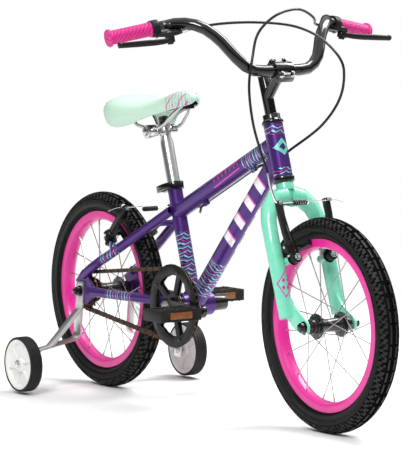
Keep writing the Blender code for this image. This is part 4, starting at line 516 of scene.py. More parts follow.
def joined(name, pieces, body, finish):
    """Several like pieces made one, riding on a body."""
    bpy.ops.object.select_all(action="DESELECT")
    for piece in pieces:
        piece.select_set(True)
    bpy.context.view_layer.objects.active = pieces[0]
    if len(pieces) > 1:
        bpy.ops.object.join()
    made = named(name, finish)
    bpy.ops.object.shade_smooth_by_angle(angle=math.radians(34))
    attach(made, body)
    return made


STEM_HEIGHT = 0.480
STEM_REACH = 0.0583
QUILL_TOP = 0.490
CLAMP_TURN = math.radians(48.0)
BAR_CENTRE = STEER_FOOT + STEER * STEM_HEIGHT + SQUARE_TO_STEER * STEM_REACH
along_split = Vector((math.cos(CLAMP_TURN), 0, -math.sin(CLAMP_TURN)))
out_of_split = Vector((math.sin(CLAMP_TURN), 0, math.cos(CLAMP_TURN)))
bright_steel = plated("bright_steel", (0.80, 0.80, 0.81), 0.12)
zinc = plated("zinc_plate", (0.66, 0.66, 0.64), 0.26, (1.0, 1.0, 0.15))
bolts = []
for ahead in (-1, 1):
    for side in (-1, 1):
        seat = BAR_CENTRE + along_split * ahead * 0.0195 + Vector((0, side * 0.0125, 0))
        bolts.append(bolt(seat + out_of_split * 0.0062, out_of_split, 0.0050, 0.0044))
joined("stem_clamp_bolts", bolts, "stem", bright_steel)
joined("stem_wedge_bolt", [bolt(STEER_FOOT + STEER * QUILL_TOP, STEER, 0.0062, 0.0035)], "stem",
       black_enamel)


# Tyres: black rubber moulded round fabric, with a rib along the middle of the tread,
# staggered square lugs beside it and two fine ribs round each side wall.

rubber = Finish("tyre_rubber", Specular_IOR_Level=0.30)
scuff = rubber.noise(120.0, 5.0)
rubber.look(Base_Color=rubber.mix(scuff, (0.006, 0.006, 0.006), (0.019, 0.018, 0.017)),
            Roughness=0.46 + 0.20 * scuff)
rubber.bump(rubber.noise(1500.0, 2.0), 0.00008)

TYRE_MIDDLE = 0.1752
TYRE_SECTION = 0.0205
TYRE_SEGMENTS = 256
TREAD_FLATTENING = 0.965
LUG_PITCHES = 396
LUG_HEIGHT = 0.0019


def is_lug(face):
    """Whether a face of the tyre stands out: the middle rib, or a lug beside it."""
    x, y, z = face.center
    lean = abs(math.degrees(math.atan2(z, math.hypot(x, y) - TYRE_MIDDLE)))
    pitch = math.floor((math.degrees(math.atan2(y, x)) % 360) / 360 * LUG_PITCHES)
    row = int(lean // 10)
    shoulder = 30 < lean < 70 and (pitch + row) % 4 < 2
    crown = lean < 5 or 10 < lean < 25 and (pitch + 2 * row) % 8 > 1
    return shoulder or crown


for end, axle in AXLES.items():
    bpy.ops.object.select_all(action="DESELECT")
    bpy.ops.mesh.primitive_torus_add(major_segments=TYRE_SEGMENTS, minor_segments=36,
                                     major_radius=TYRE_MIDDLE, minor_radius=TYRE_SECTION)
    tyre = bpy.context.object
    for vertex in tyre.data.vertices:
        reach = math.hypot(vertex.co.x, vertex.co.y)
        out = reach - TYRE_MIDDLE
        if out > 0:
            share = (TYRE_MIDDLE + out * TREAD_FLATTENING) / reach
            vertex.co.x *= share
            vertex.co.y *= share
    # Every edge is still selected beside the lugs' faces, so each raises a low wall as well.
    bpy.ops.object.mode_set(mode="EDIT")
    bpy.ops.mesh.select_mode(type="FACE")
    bpy.ops.object.mode_set(mode="OBJECT")
    for face in tyre.data.polygons:
        face.select = is_lug(face)
    bpy.ops.object.mode_set(mode="EDIT")
    bpy.ops.mesh.extrude_region_shrink_fatten(TRANSFORM_OT_shrink_fatten={"value": LUG_HEIGHT})
    bpy.ops.object.mode_set(mode="OBJECT")
    tyre.location = axle
    tyre.rotation_euler = (math.radians(90), 0, 0)
    tyre = named(f"{end}_tyre_tread", rubber)
    bpy.ops.object.shade_smooth_by_angle(angle=math.radians(30))
    stand_for(tyre, f"{end}_tyre")

    ribs = []
    for side in (-1, 1):
        for reach, thick in ((0.1660, 0.0007), (0.1750, 0.0005)):
            spread = TYRE_SECTION * math.sqrt(1 - ((reach - TYRE_MIDDLE) / TYRE_SECTION) ** 2)
            bpy.ops.mesh.primitive_torus_add(
                major_segments=128, minor_segments=6, major_radius=reach, minor_radius=thick,
                location=axle + Vector((0, side * spread, 0)), rotation=(math.radians(90), 0, 0))
            ribs.append(bpy.context.object)
    joined(f"{end}_tyre_beads", ribs, f"{end}_wheel", rubber)


# Rims: aluminium channels rolled into rings and coated pink, each drilled for a valve,
# a rubber stem that is pulled through from inside.

def lathe(name, centre, axis, profile, segments, finish):
    """A ring or disc turned about an axis: a circle drawn out from station to station."""
    radius, height = profile[0]
    bpy.ops.object.select_all(action="DESELECT")
    bpy.ops.mesh.primitive_circle_add(vertices=segments, radius=radius, location=(0, 0, 0))
    bpy.ops.object.mode_set(mode="EDIT")
    bpy.ops.mesh.select_mode(type="VERT")
    bpy.ops.mesh.select_all(action="SELECT")
    bpy.ops.transform.translate(value=(0, 0, height))
    for next_radius, next_height in profile[1:]:
        bpy.ops.mesh.extrude_region_move(
            TRANSFORM_OT_translate={"value": (0, 0, next_height - height)})
        share = next_radius / radius
        bpy.ops.transform.resize(value=(share, share, 1), center_override=(0, 0, next_height))
        radius, height = next_radius, next_height
    bpy.ops.mesh.select_all(action="SELECT")
    bpy.ops.mesh.remove_doubles(threshold=0.00001)
    bpy.ops.mesh.normals_make_consistent(inside=False)
    bpy.ops.object.mode_set(mode="OBJECT")
    piece = bpy.context.object
    piece.location = centre
    piece.rotation_euler = Vector(axis).to_track_quat("Z", "Y").to_euler()
    made = named(name, finish)
    bpy.ops.object.shade_smooth_by_angle(angle=math.radians(34))
    return made


def mirrored(profile):
    """The other half of a turned profile, from its far end back."""
    return [(radius, -height) for radius, height in reversed(profile)]


rim_paint = Finish("pink_rim_coat", Coat_Weight=0.3, Coat_Roughness=0.12)
rim_paint.look(Base_Color=rim_paint.mix(rim_paint.noise(30.0, 3.0), (0.70, 0.012, 0.265),
                                        (0.78, 0.024, 0.32)),
               Roughness=0.28 + 0.10 * rim_paint.noise(200.0, 2.0))
rim_paint.bump(rim_paint.noise(800.0, 1.0), 0.00002)

RIM_INSIDE = 0.1396
RIM_HALF = [
    (0.1500, 0.0098), (0.1570, 0.0099), (0.1582, 0.0104), (0.1585, 0.0114), (0.1580, 0.0124),
    (0.1566, 0.0125), (0.1500, 0.01245), (0.1445, 0.0124), (0.1435, 0.0120), (0.1404, 0.0068),
    (0.1400, 0.0060)]
RIM_PROFILE = RIM_HALF + [(0.1399, 0.0)] + mirrored(RIM_HALF) + [(0.1480, 0.0), RIM_HALF[0]]
for end, valve_turn in (("front", math.radians(166)), ("rear", math.radians(78))):
    rim = lathe(f"{end}_rim_finished", AXLES[end], (0, 1, 0), RIM_PROFILE, 128, rim_paint)
    stand_for(rim, f"{end}_rim")
    outward = Vector((math.cos(valve_turn), 0, math.sin(valve_turn)))
    root = AXLES[end] + outward * RIM_INSIDE
    valve = [drum(root, root - outward * 0.015, 0.0028, 12),
             drum(root - outward * 0.013, root - outward * 0.022, 0.0034, 12)]
    joined(f"{end}_valve", valve, f"{end}_wheel", rubber)


# Hubs and spokes: turned hubs in black coat, whose flanges hold twenty plated spokes
# a wheel, laced twice across and screwed into nipples in the rim.

SPOKE_COUNT = 20
SPOKE_CROSSINGS = 2
SPOKE_HOLES = 0.0205
NIPPLE_SIDE = 0.003
FLANGES = {"front": (-0.0275, 0.0275), "rear": (-0.0265, 0.0285)}
SLEEVES = {"front": 0.0455, "rear": 0.0505}
FLANGE_PROFILE = [(0.0150, -0.0022), (0.0230, -0.0016), (0.0236, 0.0), (0.0230, 0.0016),
                  (0.0150, 0.0022)]


def flange(middle):
    """The turned profile of one flange of a hub."""
    return [(radius, middle + height) for radius, height in FLANGE_PROFILE]


spoke_wire = plated("spoke_wire", (0.40, 0.40, 0.41), 0.24)
for end, axle in AXLES.items():
    wires = []
    nipples = []
    for number in range(SPOKE_COUNT):
        middle = FLANGES[end][number % 2]
        direction = 1 if number // 2 % 2 else -1
        rim_angle = 2 * math.pi * (number + 0.5) / SPOKE_COUNT
        hub_angle = rim_angle + direction * SPOKE_CROSSINGS * 2 * math.pi / (SPOKE_COUNT / 2)
        head = axle + Vector((SPOKE_HOLES * math.cos(hub_angle),
                              middle + math.copysign(0.0015, middle) * direction,
                              -SPOKE_HOLES * math.sin(hub_angle)))
        foot = axle + Vector((RIM_INSIDE * math.cos(rim_angle), math.copysign(NIPPLE_SIDE, middle),
                              -RIM_INSIDE * math.sin(rim_angle)))
        toward = (head - foot).normalized()
        elbow = Vector((0, 0.0012, 0))
        wires.append(drum(head, foot, 0.00095, 8, 0.0))
        wires.append(drum(head - elbow, head + elbow, 0.0017, 8, 0.0))
        nipples.append(drum(foot - toward * 0.001, foot + toward * 0.010, 0.0019, 8, 0.0))
    joined(f"{end}_spokes", wires, f"{end}_wheel", spoke_wire)
    joined(f"{end}_nipples", nipples, f"{end}_wheel", zinc)

hub_black = gloss_black("hub_black", 0.006, 0.20)
for end, axle in AXLES.items():
    right, left = FLANGES[end]
    sleeve = SLEEVES[end]
    profile = [(0.0052, -sleeve), (0.0125, -sleeve), (0.0135, -sleeve + 0.002),
               (0.0135, right - 0.0035), *flange(right), (0.0128, right + 0.006),
               (0.0122, 0.0), (0.0128, left - 0.006), *flange(left), (0.0135, left + 0.0035),
               (0.0135, sleeve - 0.002), (0.0125, sleeve), (0.0052, sleeve), (0.0052, -sleeve)]
    hub = lathe(f"{end}_hub_finished", axle, (0, 1, 0), profile, 48, hub_black)
    stand_for(hub, f"{end}_hub")


# Axles: threaded steel rods through the dropouts, each end with a washer and a black
# hexagon nut.

for node in ("front_axle", "rear_axle"):
    finished(node, zinc, bevel=0.0003)
for end, body, face, tip in (("front", "front_fork", 0.0552, 0.0664),
                             ("rear", "frame", 0.0645, 0.0788)):
    stack = ((face, face + 0.0012, 0.0112, 28, 0.0002),
             (face + 0.001, face + 0.0090, 0.0094, 6, 0.0008),
             (face + 0.0085, tip, 0.0062, 20, 0.0012))
    nuts = []
    for side in (-1, 1):
        for inner, outer, radius, sides, edge in stack:
            nuts.append(drum(AXLES[end] + Vector((0, side * inner, 0)),
                             AXLES[end] + Vector((0, side * outer, 0)), radius, sides, edge))
    joined(f"{end}_axle_nuts", nuts, body, black_enamel)


# Rim brakes: forged arms in black coat that turn on studs, each with a rubber pad on
# a threaded post, a return spring wire, plated bolts and a cable anchor. A ribbed boot
# covers the bare wire between the arms.

def moulded(name, tone, roughness=0.45, grain=900.0):
    """Moulded plastic or coated casting with a fine even texture."""
    plastic = Finish(name, Specular_IOR_Level=0.24)
    cloud = plastic.noise(60.0, 3.0)
    light = tuple(part * 1.5 + 0.002 for part in tone)
    plastic.look(Base_Color=plastic.mix(cloud, tone, light), Roughness=roughness + 0.12 * cloud)
    plastic.bump(plastic.noise(grain, 2.0), 0.00006)
    return plastic


coated = moulded("black_coating", (0.006, 0.006, 0.006), 0.26, 1400.0)
black_plastic = moulded("black_plastic", (0.008, 0.008, 0.008), 0.36)
boot_rubber = moulded("boot_rubber", (0.007, 0.007, 0.007), 0.5, 1600.0)
for node in ("front_brake_arm_right", "front_brake_arm_left", "rear_brake_arm_left",
             "rear_brake_arm_right"):
    finished(node, coated, bevel=0.0009)
finished("front_brake_noodle", bright_steel)

PAD_TRACK = 0.1515
PIVOT_SIDE = 0.040
FRONT_TILT = math.radians(18.5)
REAR_TILT = math.radians(129.0)
BRAKE_AXES = {}
for end, tilt, side in (("front", FRONT_TILT, 1), ("rear", REAR_TILT, -1)):
    ahead = Vector((math.cos(tilt), 0, math.sin(tilt)))
    across = Vector((0, side, 0))
    BRAKE_AXES[end] = (ahead, across, ahead.cross(across))


def spot(end, x, y, z):
    """A point in a brake's own plane: ahead, across and up from its wheel's axle."""
    ahead, across, up = BRAKE_AXES[end]
    return AXLES[end] + ahead * x + across * y + up * z


def turnings(end, side, rows):
    """Turned pieces of the arm on one side, each from one point of its plane to another."""
    return [drum(spot(end, start[0], side * start[1], start[2]),
                 spot(end, finish[0], side * finish[1], finish[2]), radius, sides, edge)
            for start, finish, radius, sides, edge in rows]


BOOT_PROFILE = [(0.000005, -0.0225), (0.0026, -0.0225), (0.0046, -0.0205)]
for ring in range(6):
    start = -0.0200 + ring * 0.0050
    BOOT_PROFILE += [(0.0049, start), (0.0051, start + 0.0016), (0.0041, start + 0.0032)]
BOOT_PROFILE += [(0.0036, 0.0105), (0.0014, 0.0125), (0.000005, 0.0125)]
BRAKES = {
    "front": (-0.00545, 0.1305, 0.2325, "front_fork",
              ("front_brake_arm_right", "front_brake_arm_left")),
    "rear": (0.03556, 0.128, 0.230, "frame", ("rear_brake_arm_left", "rear_brake_arm_right")),
}
for end, (arm, pivot, cable, stud_body, arm_nodes) in BRAKES.items():
    ahead, across, up = BRAKE_AXES[end]
    pad = math.sqrt(PAD_TRACK ** 2 - arm ** 2)
    caps = []
    for side, node in zip((-1, 1), arm_nodes):
        caps.append(bolt(spot(end, arm + 0.0079, side * PIVOT_SIDE, pivot), ahead, 0.0068, 0.0046))
        washers = turnings(end, side, [
            ((arm - 0.0062, 0.0500, pad), (arm + 0.0064, 0.0500, pad), 0.0105, 24, 0.0010),
            ((arm, 0.0430, pad), (arm, 0.0455, pad), 0.0078, 24, 0.0006),
            ((arm, 0.0515, pad), (arm, 0.0540, pad), 0.0078, 24, 0.0006),
            ((arm - 0.0074, PIVOT_SIDE, pivot), (arm - 0.0050, PIVOT_SIDE, pivot),
             0.0125, 28, 0.0006)])
        joined(f"{node}_washers", washers, node, coated)
        fittings = turnings(end, side, [
            ((arm, 0.0538, pad), (arm, 0.0580, pad), 0.0052, 6, 0.0004),
            ((arm, 0.0575, pad), (arm, 0.0610, pad), 0.0030, 12, 0.0003),
            ((arm + 0.0052, 0.0405, pivot + 0.011), (arm + 0.0052, 0.0505, pivot + 0.060),
             0.0009, 8, 0.0),
            ((arm + 0.001, 0.0480, pivot + 0.005), (arm + 0.001, 0.0560, pivot + 0.004),
             0.0021, 10, 0.0003)])
        if side > 0:
            fittings.append(bolt(spot(end, arm + 0.0093, 0.053, cable), ahead, 0.0046, 0.0034))
            fittings += turnings(end, side, [
                ((arm + 0.0066, 0.0115, cable), (arm + 0.0066, 0.0700, cable - 0.001),
                 0.0009, 8, 0.0),
                ((arm + 0.0066, 0.0700, cable - 0.001), (arm + 0.0040, 0.0880, cable - 0.006),
                 0.0009, 8, 0.0)])
        else:
            fittings.append(bolt(spot(end, arm + 0.0052, -0.0530, cable + 0.0005), ahead,
                                 0.0040, 0.0016))
        joined(f"{node}_fittings", fittings, node, bright_steel)
    joined(f"{end}_brake_pivot_bolts", caps, stud_body, bright_steel)
    boot = lathe(f"{end}_brake_boot", spot(end, arm, 0, cable), across, BOOT_PROFILE, 20,
                 boot_rubber)
    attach(boot, arm_nodes[0])

# The rear noodle's bend, in the brake's plane, from where its arm holds it.
REAR_BEND = [(-0.0283, -0.076, 0.035), (-0.0230, -0.0758, 0.0284), (-0.0176, -0.0755, 0.0218),
             (-0.0120, -0.0738, 0.0148), (-0.0069, -0.0715, 0.0085), (-0.0035, -0.0675, 0.0043),
             (-0.0013, -0.063, 0.0016), (-0.0003, -0.058, 0.0003), (0.0, -0.053, 0.0),
             (0.0, -0.022, 0.0)]
rear_arm, rear_cable = BRAKES["rear"][0], BRAKES["rear"][2]
guide = [spot("rear", rear_arm + x, y, rear_cable + z) for x, y, z in REAR_BEND]
lengths = [drum(before, after + (after - before) * 0.06, 0.0030, 14, 0.0)
           for before, after in zip(guide, guide[1:])]
joined("rear_brake_noodle", lengths, "rear_brake_arm_left", bright_steel)


# Bar controls: hand grips moulded in pink rubber, ribbed, with a spiral groove shown only as darker
# lines of painted shade, plastic lever bodies clamped beside them, black lever blades, and plated
# cable adjusters.

grip_rubber = Finish("grip_rubber", Specular_IOR_Level=0.5)
palm = grip_rubber.noise(80.0, 3.0)
outwards = abs(grip_rubber.coordinate("Y"))
# The spiral groove is not in the shape: its darker lines are painted shade, where a groove would
# lie in shadow.
groove = (outwards * 150.0 + grip_rubber.coordinate("Z") * 95.0).fraction().between(0.0, 0.28)
skin = grip_rubber.mix(palm, (0.62, 0.014, 0.22), (0.74, 0.028, 0.28))
grip_rubber.look(Base_Color=grip_rubber.mix(groove, skin, (0.40, 0.006, 0.13)),
                 Roughness=0.38 + 0.16 * palm)
grip_rubber.bump(grip_rubber.noise(1300.0, 2.0), 0.00008)

GRIP_RADIUS = 0.0132
GRIP_BORE = 0.0116
GRIP_FLANGE = 0.0165
GRIP_LENGTH = 0.0871
RIB_COUNT = 20
RIB_PITCH = 0.0036
GRIP_PROFILE = [(GRIP_BORE, 0.0), (0.0142, 0.0), (0.0148, 0.0008), (0.0148, 0.0030),
                (0.0142, 0.0038), (GRIP_RADIUS, 0.0044)]
for rib in range(RIB_COUNT):
    start = 0.0058 + rib * RIB_PITCH
    GRIP_PROFILE += [(GRIP_RADIUS, start), (GRIP_RADIUS, start + 0.0022), (0.0125, start + 0.0028),
                     (0.0125, start + 0.0032)]
GRIP_PROFILE += [(GRIP_RADIUS, 0.0793), (0.0158, 0.0801), (GRIP_FLANGE, 0.0809),
                 (GRIP_FLANGE, 0.0847), (0.0150, 0.0865), (0.0098, GRIP_LENGTH),
                 (0.000005, GRIP_LENGTH), (0.000005, 0.0850), (GRIP_BORE, 0.0850),
                 (GRIP_BORE, 0.0)]
ADJUSTER_STEPS = ((0.0480, 0.0520, 0.0060, 24, 0.0004), (0.0520, 0.0620, 0.0054, 16, 0.0005),
                  (0.0620, 0.0703, 0.0046, 20, 0.0006))
BLADE_TIP = 0.0900
for side, label in ((-1, "right"), (1, "left")):
    origin = Vector((0.49906, side * 0.2105, 0.73158))
    forward = Vector((0.98473, side * 0.17115, -0.03173))
    outward = Vector((-0.17406, side * 0.96824, -0.1795))
    upward = Vector((0, side * 0.18229, 0.98325))
    grip = lathe(f"grip_{label}_ribbed", origin, outward, GRIP_PROFILE, 40, grip_rubber)
    stand_for(grip, f"grip_{label}")
    finished(f"brake_lever_mount_{label}", black_plastic, bevel=0.0008)
    finished(f"brake_lever_{label}", coated, bevel=0.0005)

    cable_line = origin + forward * 0.026 - upward * 0.0112
    barrel = [drum(cable_line - outward * near, cable_line - outward * far, radius, sides, edge)
              for near, far, radius, sides, edge in ADJUSTER_STEPS]
    joined(f"cable_adjuster_{label}", barrel, "handlebar", bright_steel)

    bpy.ops.object.select_all(action="DESELECT")
    bpy.ops.mesh.primitive_uv_sphere_add(
        segments=24, ring_count=14, radius=0.0056,
        location=origin + forward * 0.0590 + outward * 0.0875 - upward * 0.0088)
    ball = named(f"lever_ball_{label}", coated)
    for vertex in ball.data.vertices:
        past_tip = (vertex.co - origin).dot(outward) - BLADE_TIP
        if past_tip > 0:
            vertex.co -= outward * past_tip * 0.7
    bpy.ops.object.shade_smooth()
    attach(ball, f"brake_lever_{label}")

    pivot = origin + forward * 0.038 - outward * 0.020 + upward * -0.0077
    clamp = origin + forward * 0.004 - outward * 0.0075 - upward * 0.0150
    pins = [bolt(pivot, upward, 0.0042, 0.0022), bolt(clamp, -upward, 0.0040, 0.0030)]
    joined(f"lever_pins_{label}", pins, "handlebar", zinc)


# Saddle: foam on a moulded black base, covered in pale mint vinyl that is pulled round
# its edge and printed with plain slanted strokes on its nose, over a pair of steel rails.

vinyl = Finish("saddle_vinyl", Specular_IOR_Level=0.5, Sheen_Weight=0.05)
grain = vinyl.node("TexVoronoi", {"feature": "DISTANCE_TO_EDGE"}, Scale=900.0,
                   Vector=vinyl.place())
bloom = vinyl.noise(25.0, 3.0)
cloth = vinyl.mix(bloom, (0.48, 0.68, 0.55), (0.53, 0.72, 0.59))
ahead = vinyl.coordinate("X")
aside = abs(vinyl.coordinate("Y"))
rise = vinyl.coordinate("Z")
stroke = (ahead * 70.0 + aside * 48.0 - rise * 36.0).fraction()
other = (ahead * 95.0 - aside * 80.0 + rise * 20.0).fraction()
patch = vinyl.noise(42.0, 1.0)
nose = (ahead + aside * 0.35) > 0.268
for strokes, tint in ((stroke.between(0.10, 0.30) * (patch > 0.44), (0.80, 0.055, 0.36)),
                      (other.between(0.32, 0.42) * (patch < 0.55), (0.24, 0.62, 0.58)),
                      (other.between(0.70, 0.80) * (patch > 0.40), (0.10, 0.12, 0.26))):
    cloth = vinyl.mix(nose * strokes, cloth, tint)
vinyl.look(Base_Color=cloth, Roughness=0.36 + 0.14 * bloom)
vinyl.bump(grain.maths("MINIMUM", 0.25), 0.00025, 0.6)
cover = finished("saddle_cover", vinyl, angle=60)
pick(cover)
soften = cover.modifiers.new("foam_crown", "SUBSURF")
soften.levels = 2
soften.render_levels = 2
bpy.ops.object.modifier_apply(modifier=soften.name)
bpy.ops.object.shade_smooth()
finished("saddle_base", black_plastic)
finished("saddle_rails", zinc, angle=60)
finished("saddle_clamp", bright_steel, bevel=0.0006)


# Seatpost and its collar: a plated steel post with a narrowed top, held by a black
# clamp ring with a cam lever.

brushed_post = plated("seatpost_plate", (0.66, 0.66, 0.66), 0.22, (1.0, 1.0, 0.08))
finished("seatpost", brushed_post)
finished("seat_clamp", black_enamel, bevel=0.0006)
finished("seat_clamp_lever", black_enamel, bevel=0.0006)


# Drive: a pressed steel chainring behind a plastic guard with five windows, forged cranks
# on a spindle, a freewheel, and plastic pedals with amber reflectors.

guard_black = moulded("guard_plastic", (0.007, 0.007, 0.007), 0.30, 700.0)
oiled = plated("oiled_chain_steel", (0.110, 0.072, 0.046), 0.36)
for node, finish, edge in (("chainring", black_enamel, 0.0002),
                           ("chain_guard", guard_black, 0.0005),
                           ("crank_right", black_enamel, 0.0012),
                           ("crank_left", black_enamel, 0.0012),
                           ("bottom_bracket", black_enamel, 0.0004),
                           ("crank_spindle", zinc, 0.0004), ("freewheel", oiled, 0.0003),
                           ("pedal_right", black_plastic, 0.0010),
                           ("pedal_left", black_plastic, 0.0010)):
    finished(node, finish, bevel=edge)

amber = Finish("amber_reflector", Coat_Weight=0.3, Coat_Roughness=0.05)
prism = amber.node("TexVoronoi", {"feature": "F1", "distance": "MANHATTAN"}, Scale=420.0,
                   Vector=amber.place())
amber.look(Base_Color=amber.mix(prism, (0.10, 0.028, 0.003), (0.25, 0.075, 0.007)),
           Roughness=0.16 + 0.12 * amber.noise(500.0, 1.0))
amber.bump(prism, 0.0004)


def moulded_block(centre, size, turn, rounding, segments):
    """A small block with rounded edges, turned about a line across the bike."""
    bpy.ops.mesh.primitive_cube_add(size=1.0, location=centre, rotation=(0, -turn, 0))
    block = bpy.context.object
    block.scale = size
    pick(block)
    bpy.ops.object.transform_apply(location=True, rotation=True, scale=True)
    edge = block.modifiers.new("moulded_edge", "BEVEL")
    edge.width = rounding
    edge.segments = segments
    bpy.ops.object.modifier_apply(modifier=edge.name)
    return block


CRANK_LENGTH = 0.110
PEDAL_SIDE = 0.124
REFLECTOR_AHEAD = 0.0314
REFLECTOR_SIZE = (0.0026, 0.0488, 0.0130)
for side, label in ((-1, "right"), (1, "left")):
    centre = BRACKET + Vector((-side * CRANK_LENGTH, side * PEDAL_SIDE, 0))
    lenses = [moulded_block(centre + Vector((ahead * REFLECTOR_AHEAD, 0, 0)), REFLECTOR_SIZE, 0.0,
                            0.0009, 3) for ahead in (-1, 1)]
    joined(f"pedal_reflectors_{label}", lenses, f"pedal_{label}", amber)
    studs = []
    for x in (-0.0290, -0.0085, 0.0085, 0.0290):
        for y in (-0.036, -0.018, 0.0, 0.018, 0.036):
            for face in (-1, 1):
                base = centre + Vector((x, y, face * 0.0108))
                studs.append(drum(base, base + Vector((0, 0, face * 0.0014)), 0.0016, 8, 0.0003))
    joined(f"pedal_studs_{label}", studs, f"pedal_{label}", black_plastic)

SPINDLE_END = 0.0655
SCREW_CIRCLE = 0.068
GUARD_FACE = -0.0513
caps = []
for side in (-1, 1):
    face = BRACKET + Vector((0, side * SPINDLE_END, 0))
    caps.append(drum(face, face + Vector((0, side * 0.0022, 0)), 0.0105, 28, 0.0007))
    caps.append(bolt(face + Vector((0, side * 0.0020, 0)), (0, side, 0), 0.0068, 0.0042))
joined("crank_bolts", caps, "cranks", zinc)
screws = []
for arm in range(5):
    turn = math.radians(72 * arm + 3)
    seat = BRACKET + Vector((SCREW_CIRCLE * math.cos(turn), GUARD_FACE,
                             SCREW_CIRCLE * math.sin(turn)))
    screws.append(bolt(seat, (0, -1, 0), 0.0036, 0.0016))
joined("guard_screws", screws, "cranks", black_enamel)


# Chain: oiled brownish side plates pressed over pins and rollers, half an inch apart,
# round the ring and the cog in one loop that is closed with a joining link.

CHAIN_PITCH = 0.0127
RING_TEETH = 36
COG_TEETH = 18
CHAINLINE = -0.044
RING_RADIUS = CHAIN_PITCH / 2 / math.sin(math.pi / RING_TEETH)
COG_RADIUS = CHAIN_PITCH / 2 / math.sin(math.pi / COG_TEETH)
ring_centre = Vector((BRACKET.x, BRACKET.z))
cog_centre = Vector((0.0, AXLE_HEIGHT))
stay_line = cog_centre - ring_centre
heading = math.atan2(stay_line.y, stay_line.x)
spread = math.acos((RING_RADIUS - COG_RADIUS) / stay_line.length)
run = stay_line.length * math.sin(spread)
round_ring = RING_RADIUS * 2 * (math.pi - spread)
round_cog = COG_RADIUS * 2 * spread
total = round_ring + run + round_cog + run
link_count = 2 * round(total / CHAIN_PITCH / 2)


def chain_point(distance):
    """Where the chain's line of pins is, so far round from where it meets the ring."""
    distance %= total
    if distance < round_ring:
        turn = heading + spread + distance / RING_RADIUS
        return ring_centre + Vector((math.cos(turn), math.sin(turn))) * RING_RADIUS
    distance -= round_ring
    if distance < run:
        out = Vector((math.cos(heading - spread), math.sin(heading - spread)))
        return (ring_centre + out * RING_RADIUS).lerp(cog_centre + out * COG_RADIUS, distance / run)
    distance -= run
    if distance < round_cog:
        turn = heading - spread + distance / COG_RADIUS
        return cog_centre + Vector((math.cos(turn), math.sin(turn))) * COG_RADIUS
    distance -= round_cog
    out = Vector((math.cos(heading + spread), math.sin(heading + spread)))
    return (cog_centre + out * COG_RADIUS).lerp(ring_centre + out * RING_RADIUS, distance / run)


def side_plate(first, second, across):
    """A waisted link plate between two pins."""
    bpy.ops.mesh.primitive_cylinder_add(vertices=14, radius=0.0044, depth=0.0010,
                                        location=(0, 0, 0))
    plate = bpy.context.object
    half = (second - first).length / 2
    for vertex in plate.data.vertices:
        if abs(vertex.co.x) < 0.0012:
            vertex.co.y *= 0.74
        else:
            vertex.co.x += math.copysign(half, vertex.co.x)
    middle = (first + second) / 2
    angle = math.atan2(second.y - first.y, second.x - first.x)
    plate.rotation_euler = (math.radians(90), -angle, 0)
    plate.location = (middle.x, across, middle.y)
    return plate


plates = []
rollers = []
for number in range(link_count):
    first = chain_point(total * number / link_count)
    second = chain_point(total * (number + 1) / link_count)
    offset = 0.0037 if number % 2 else 0.0027
    for side in (-1, 1):
        plates.append(side_plate(first, second, CHAINLINE + side * offset))
    for half_width, radius, sides in ((0.0025, 0.0036, 8), (0.0046, 0.0016, 6)):
        rollers.append(drum((first.x, CHAINLINE - half_width, first.y),
                            (first.x, CHAINLINE + half_width, first.y), radius, sides, 0.0))
chain_links = joined("chain_links", plates + rollers, "frame", oiled)
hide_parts("chain")


# Stabilisers: bent zinc plated straps under the axle nuts, each carrying a moulded
# white wheel with six ribs and a ribbed black tyre.

milky = moulded("milky_plastic", (0.70, 0.70, 0.68), 0.38, 500.0)
milky.look(Base_Color=milky.mix(milky.noise(30.0, 3.0), (0.80, 0.80, 0.78), (0.87, 0.87, 0.85)))
strap_zinc = plated("strap_zinc", (0.68, 0.68, 0.67), 0.22, (0.3, 1.0, 1.0))

STABILISER_X = -0.0035
STABILISER_HEIGHT = 0.058
STABILISER_SIDE = 0.1955
NUT_SIDE = 0.2086
DISC_RADIUS = 0.0500
DISC_RIBS = 6
RIB_MIDDLE = 0.0290
RIB_SIZE = (0.0310, 0.0175, 0.0026)
TREAD_GROOVES = 4
DISC_BOSS = [(0.0044, -0.0125), (0.0130, -0.0125), (0.0140, -0.0115)]
DISC_RIM = [(0.0455, -0.0110), (0.0470, -0.0122), (DISC_RADIUS, -0.0122)]
DISC_PROFILE = DISC_BOSS + [(0.0150, -0.0030), (0.0420, -0.0030)] + DISC_RIM + mirrored(DISC_RIM)
DISC_PROFILE += [(0.0420, 0.0045), (0.0150, 0.0045)] + mirrored(DISC_BOSS) + [DISC_BOSS[0]]
TREAD_PROFILE = [(DISC_RADIUS, -0.0130), (0.0535, -0.0130), (0.0545, -0.0118)]
for groove in range(TREAD_GROOVES):
    start = -0.0100 + groove * 0.0054
    TREAD_PROFILE += [(0.0549, start), (0.0549, start + 0.0034), (0.0538, start + 0.0040),
                      (0.0538, start + 0.0050)]
TREAD_PROFILE += [(0.0545, 0.0118), (0.0535, 0.0130), (DISC_RADIUS, 0.0130),
                  (DISC_RADIUS, -0.0130)]
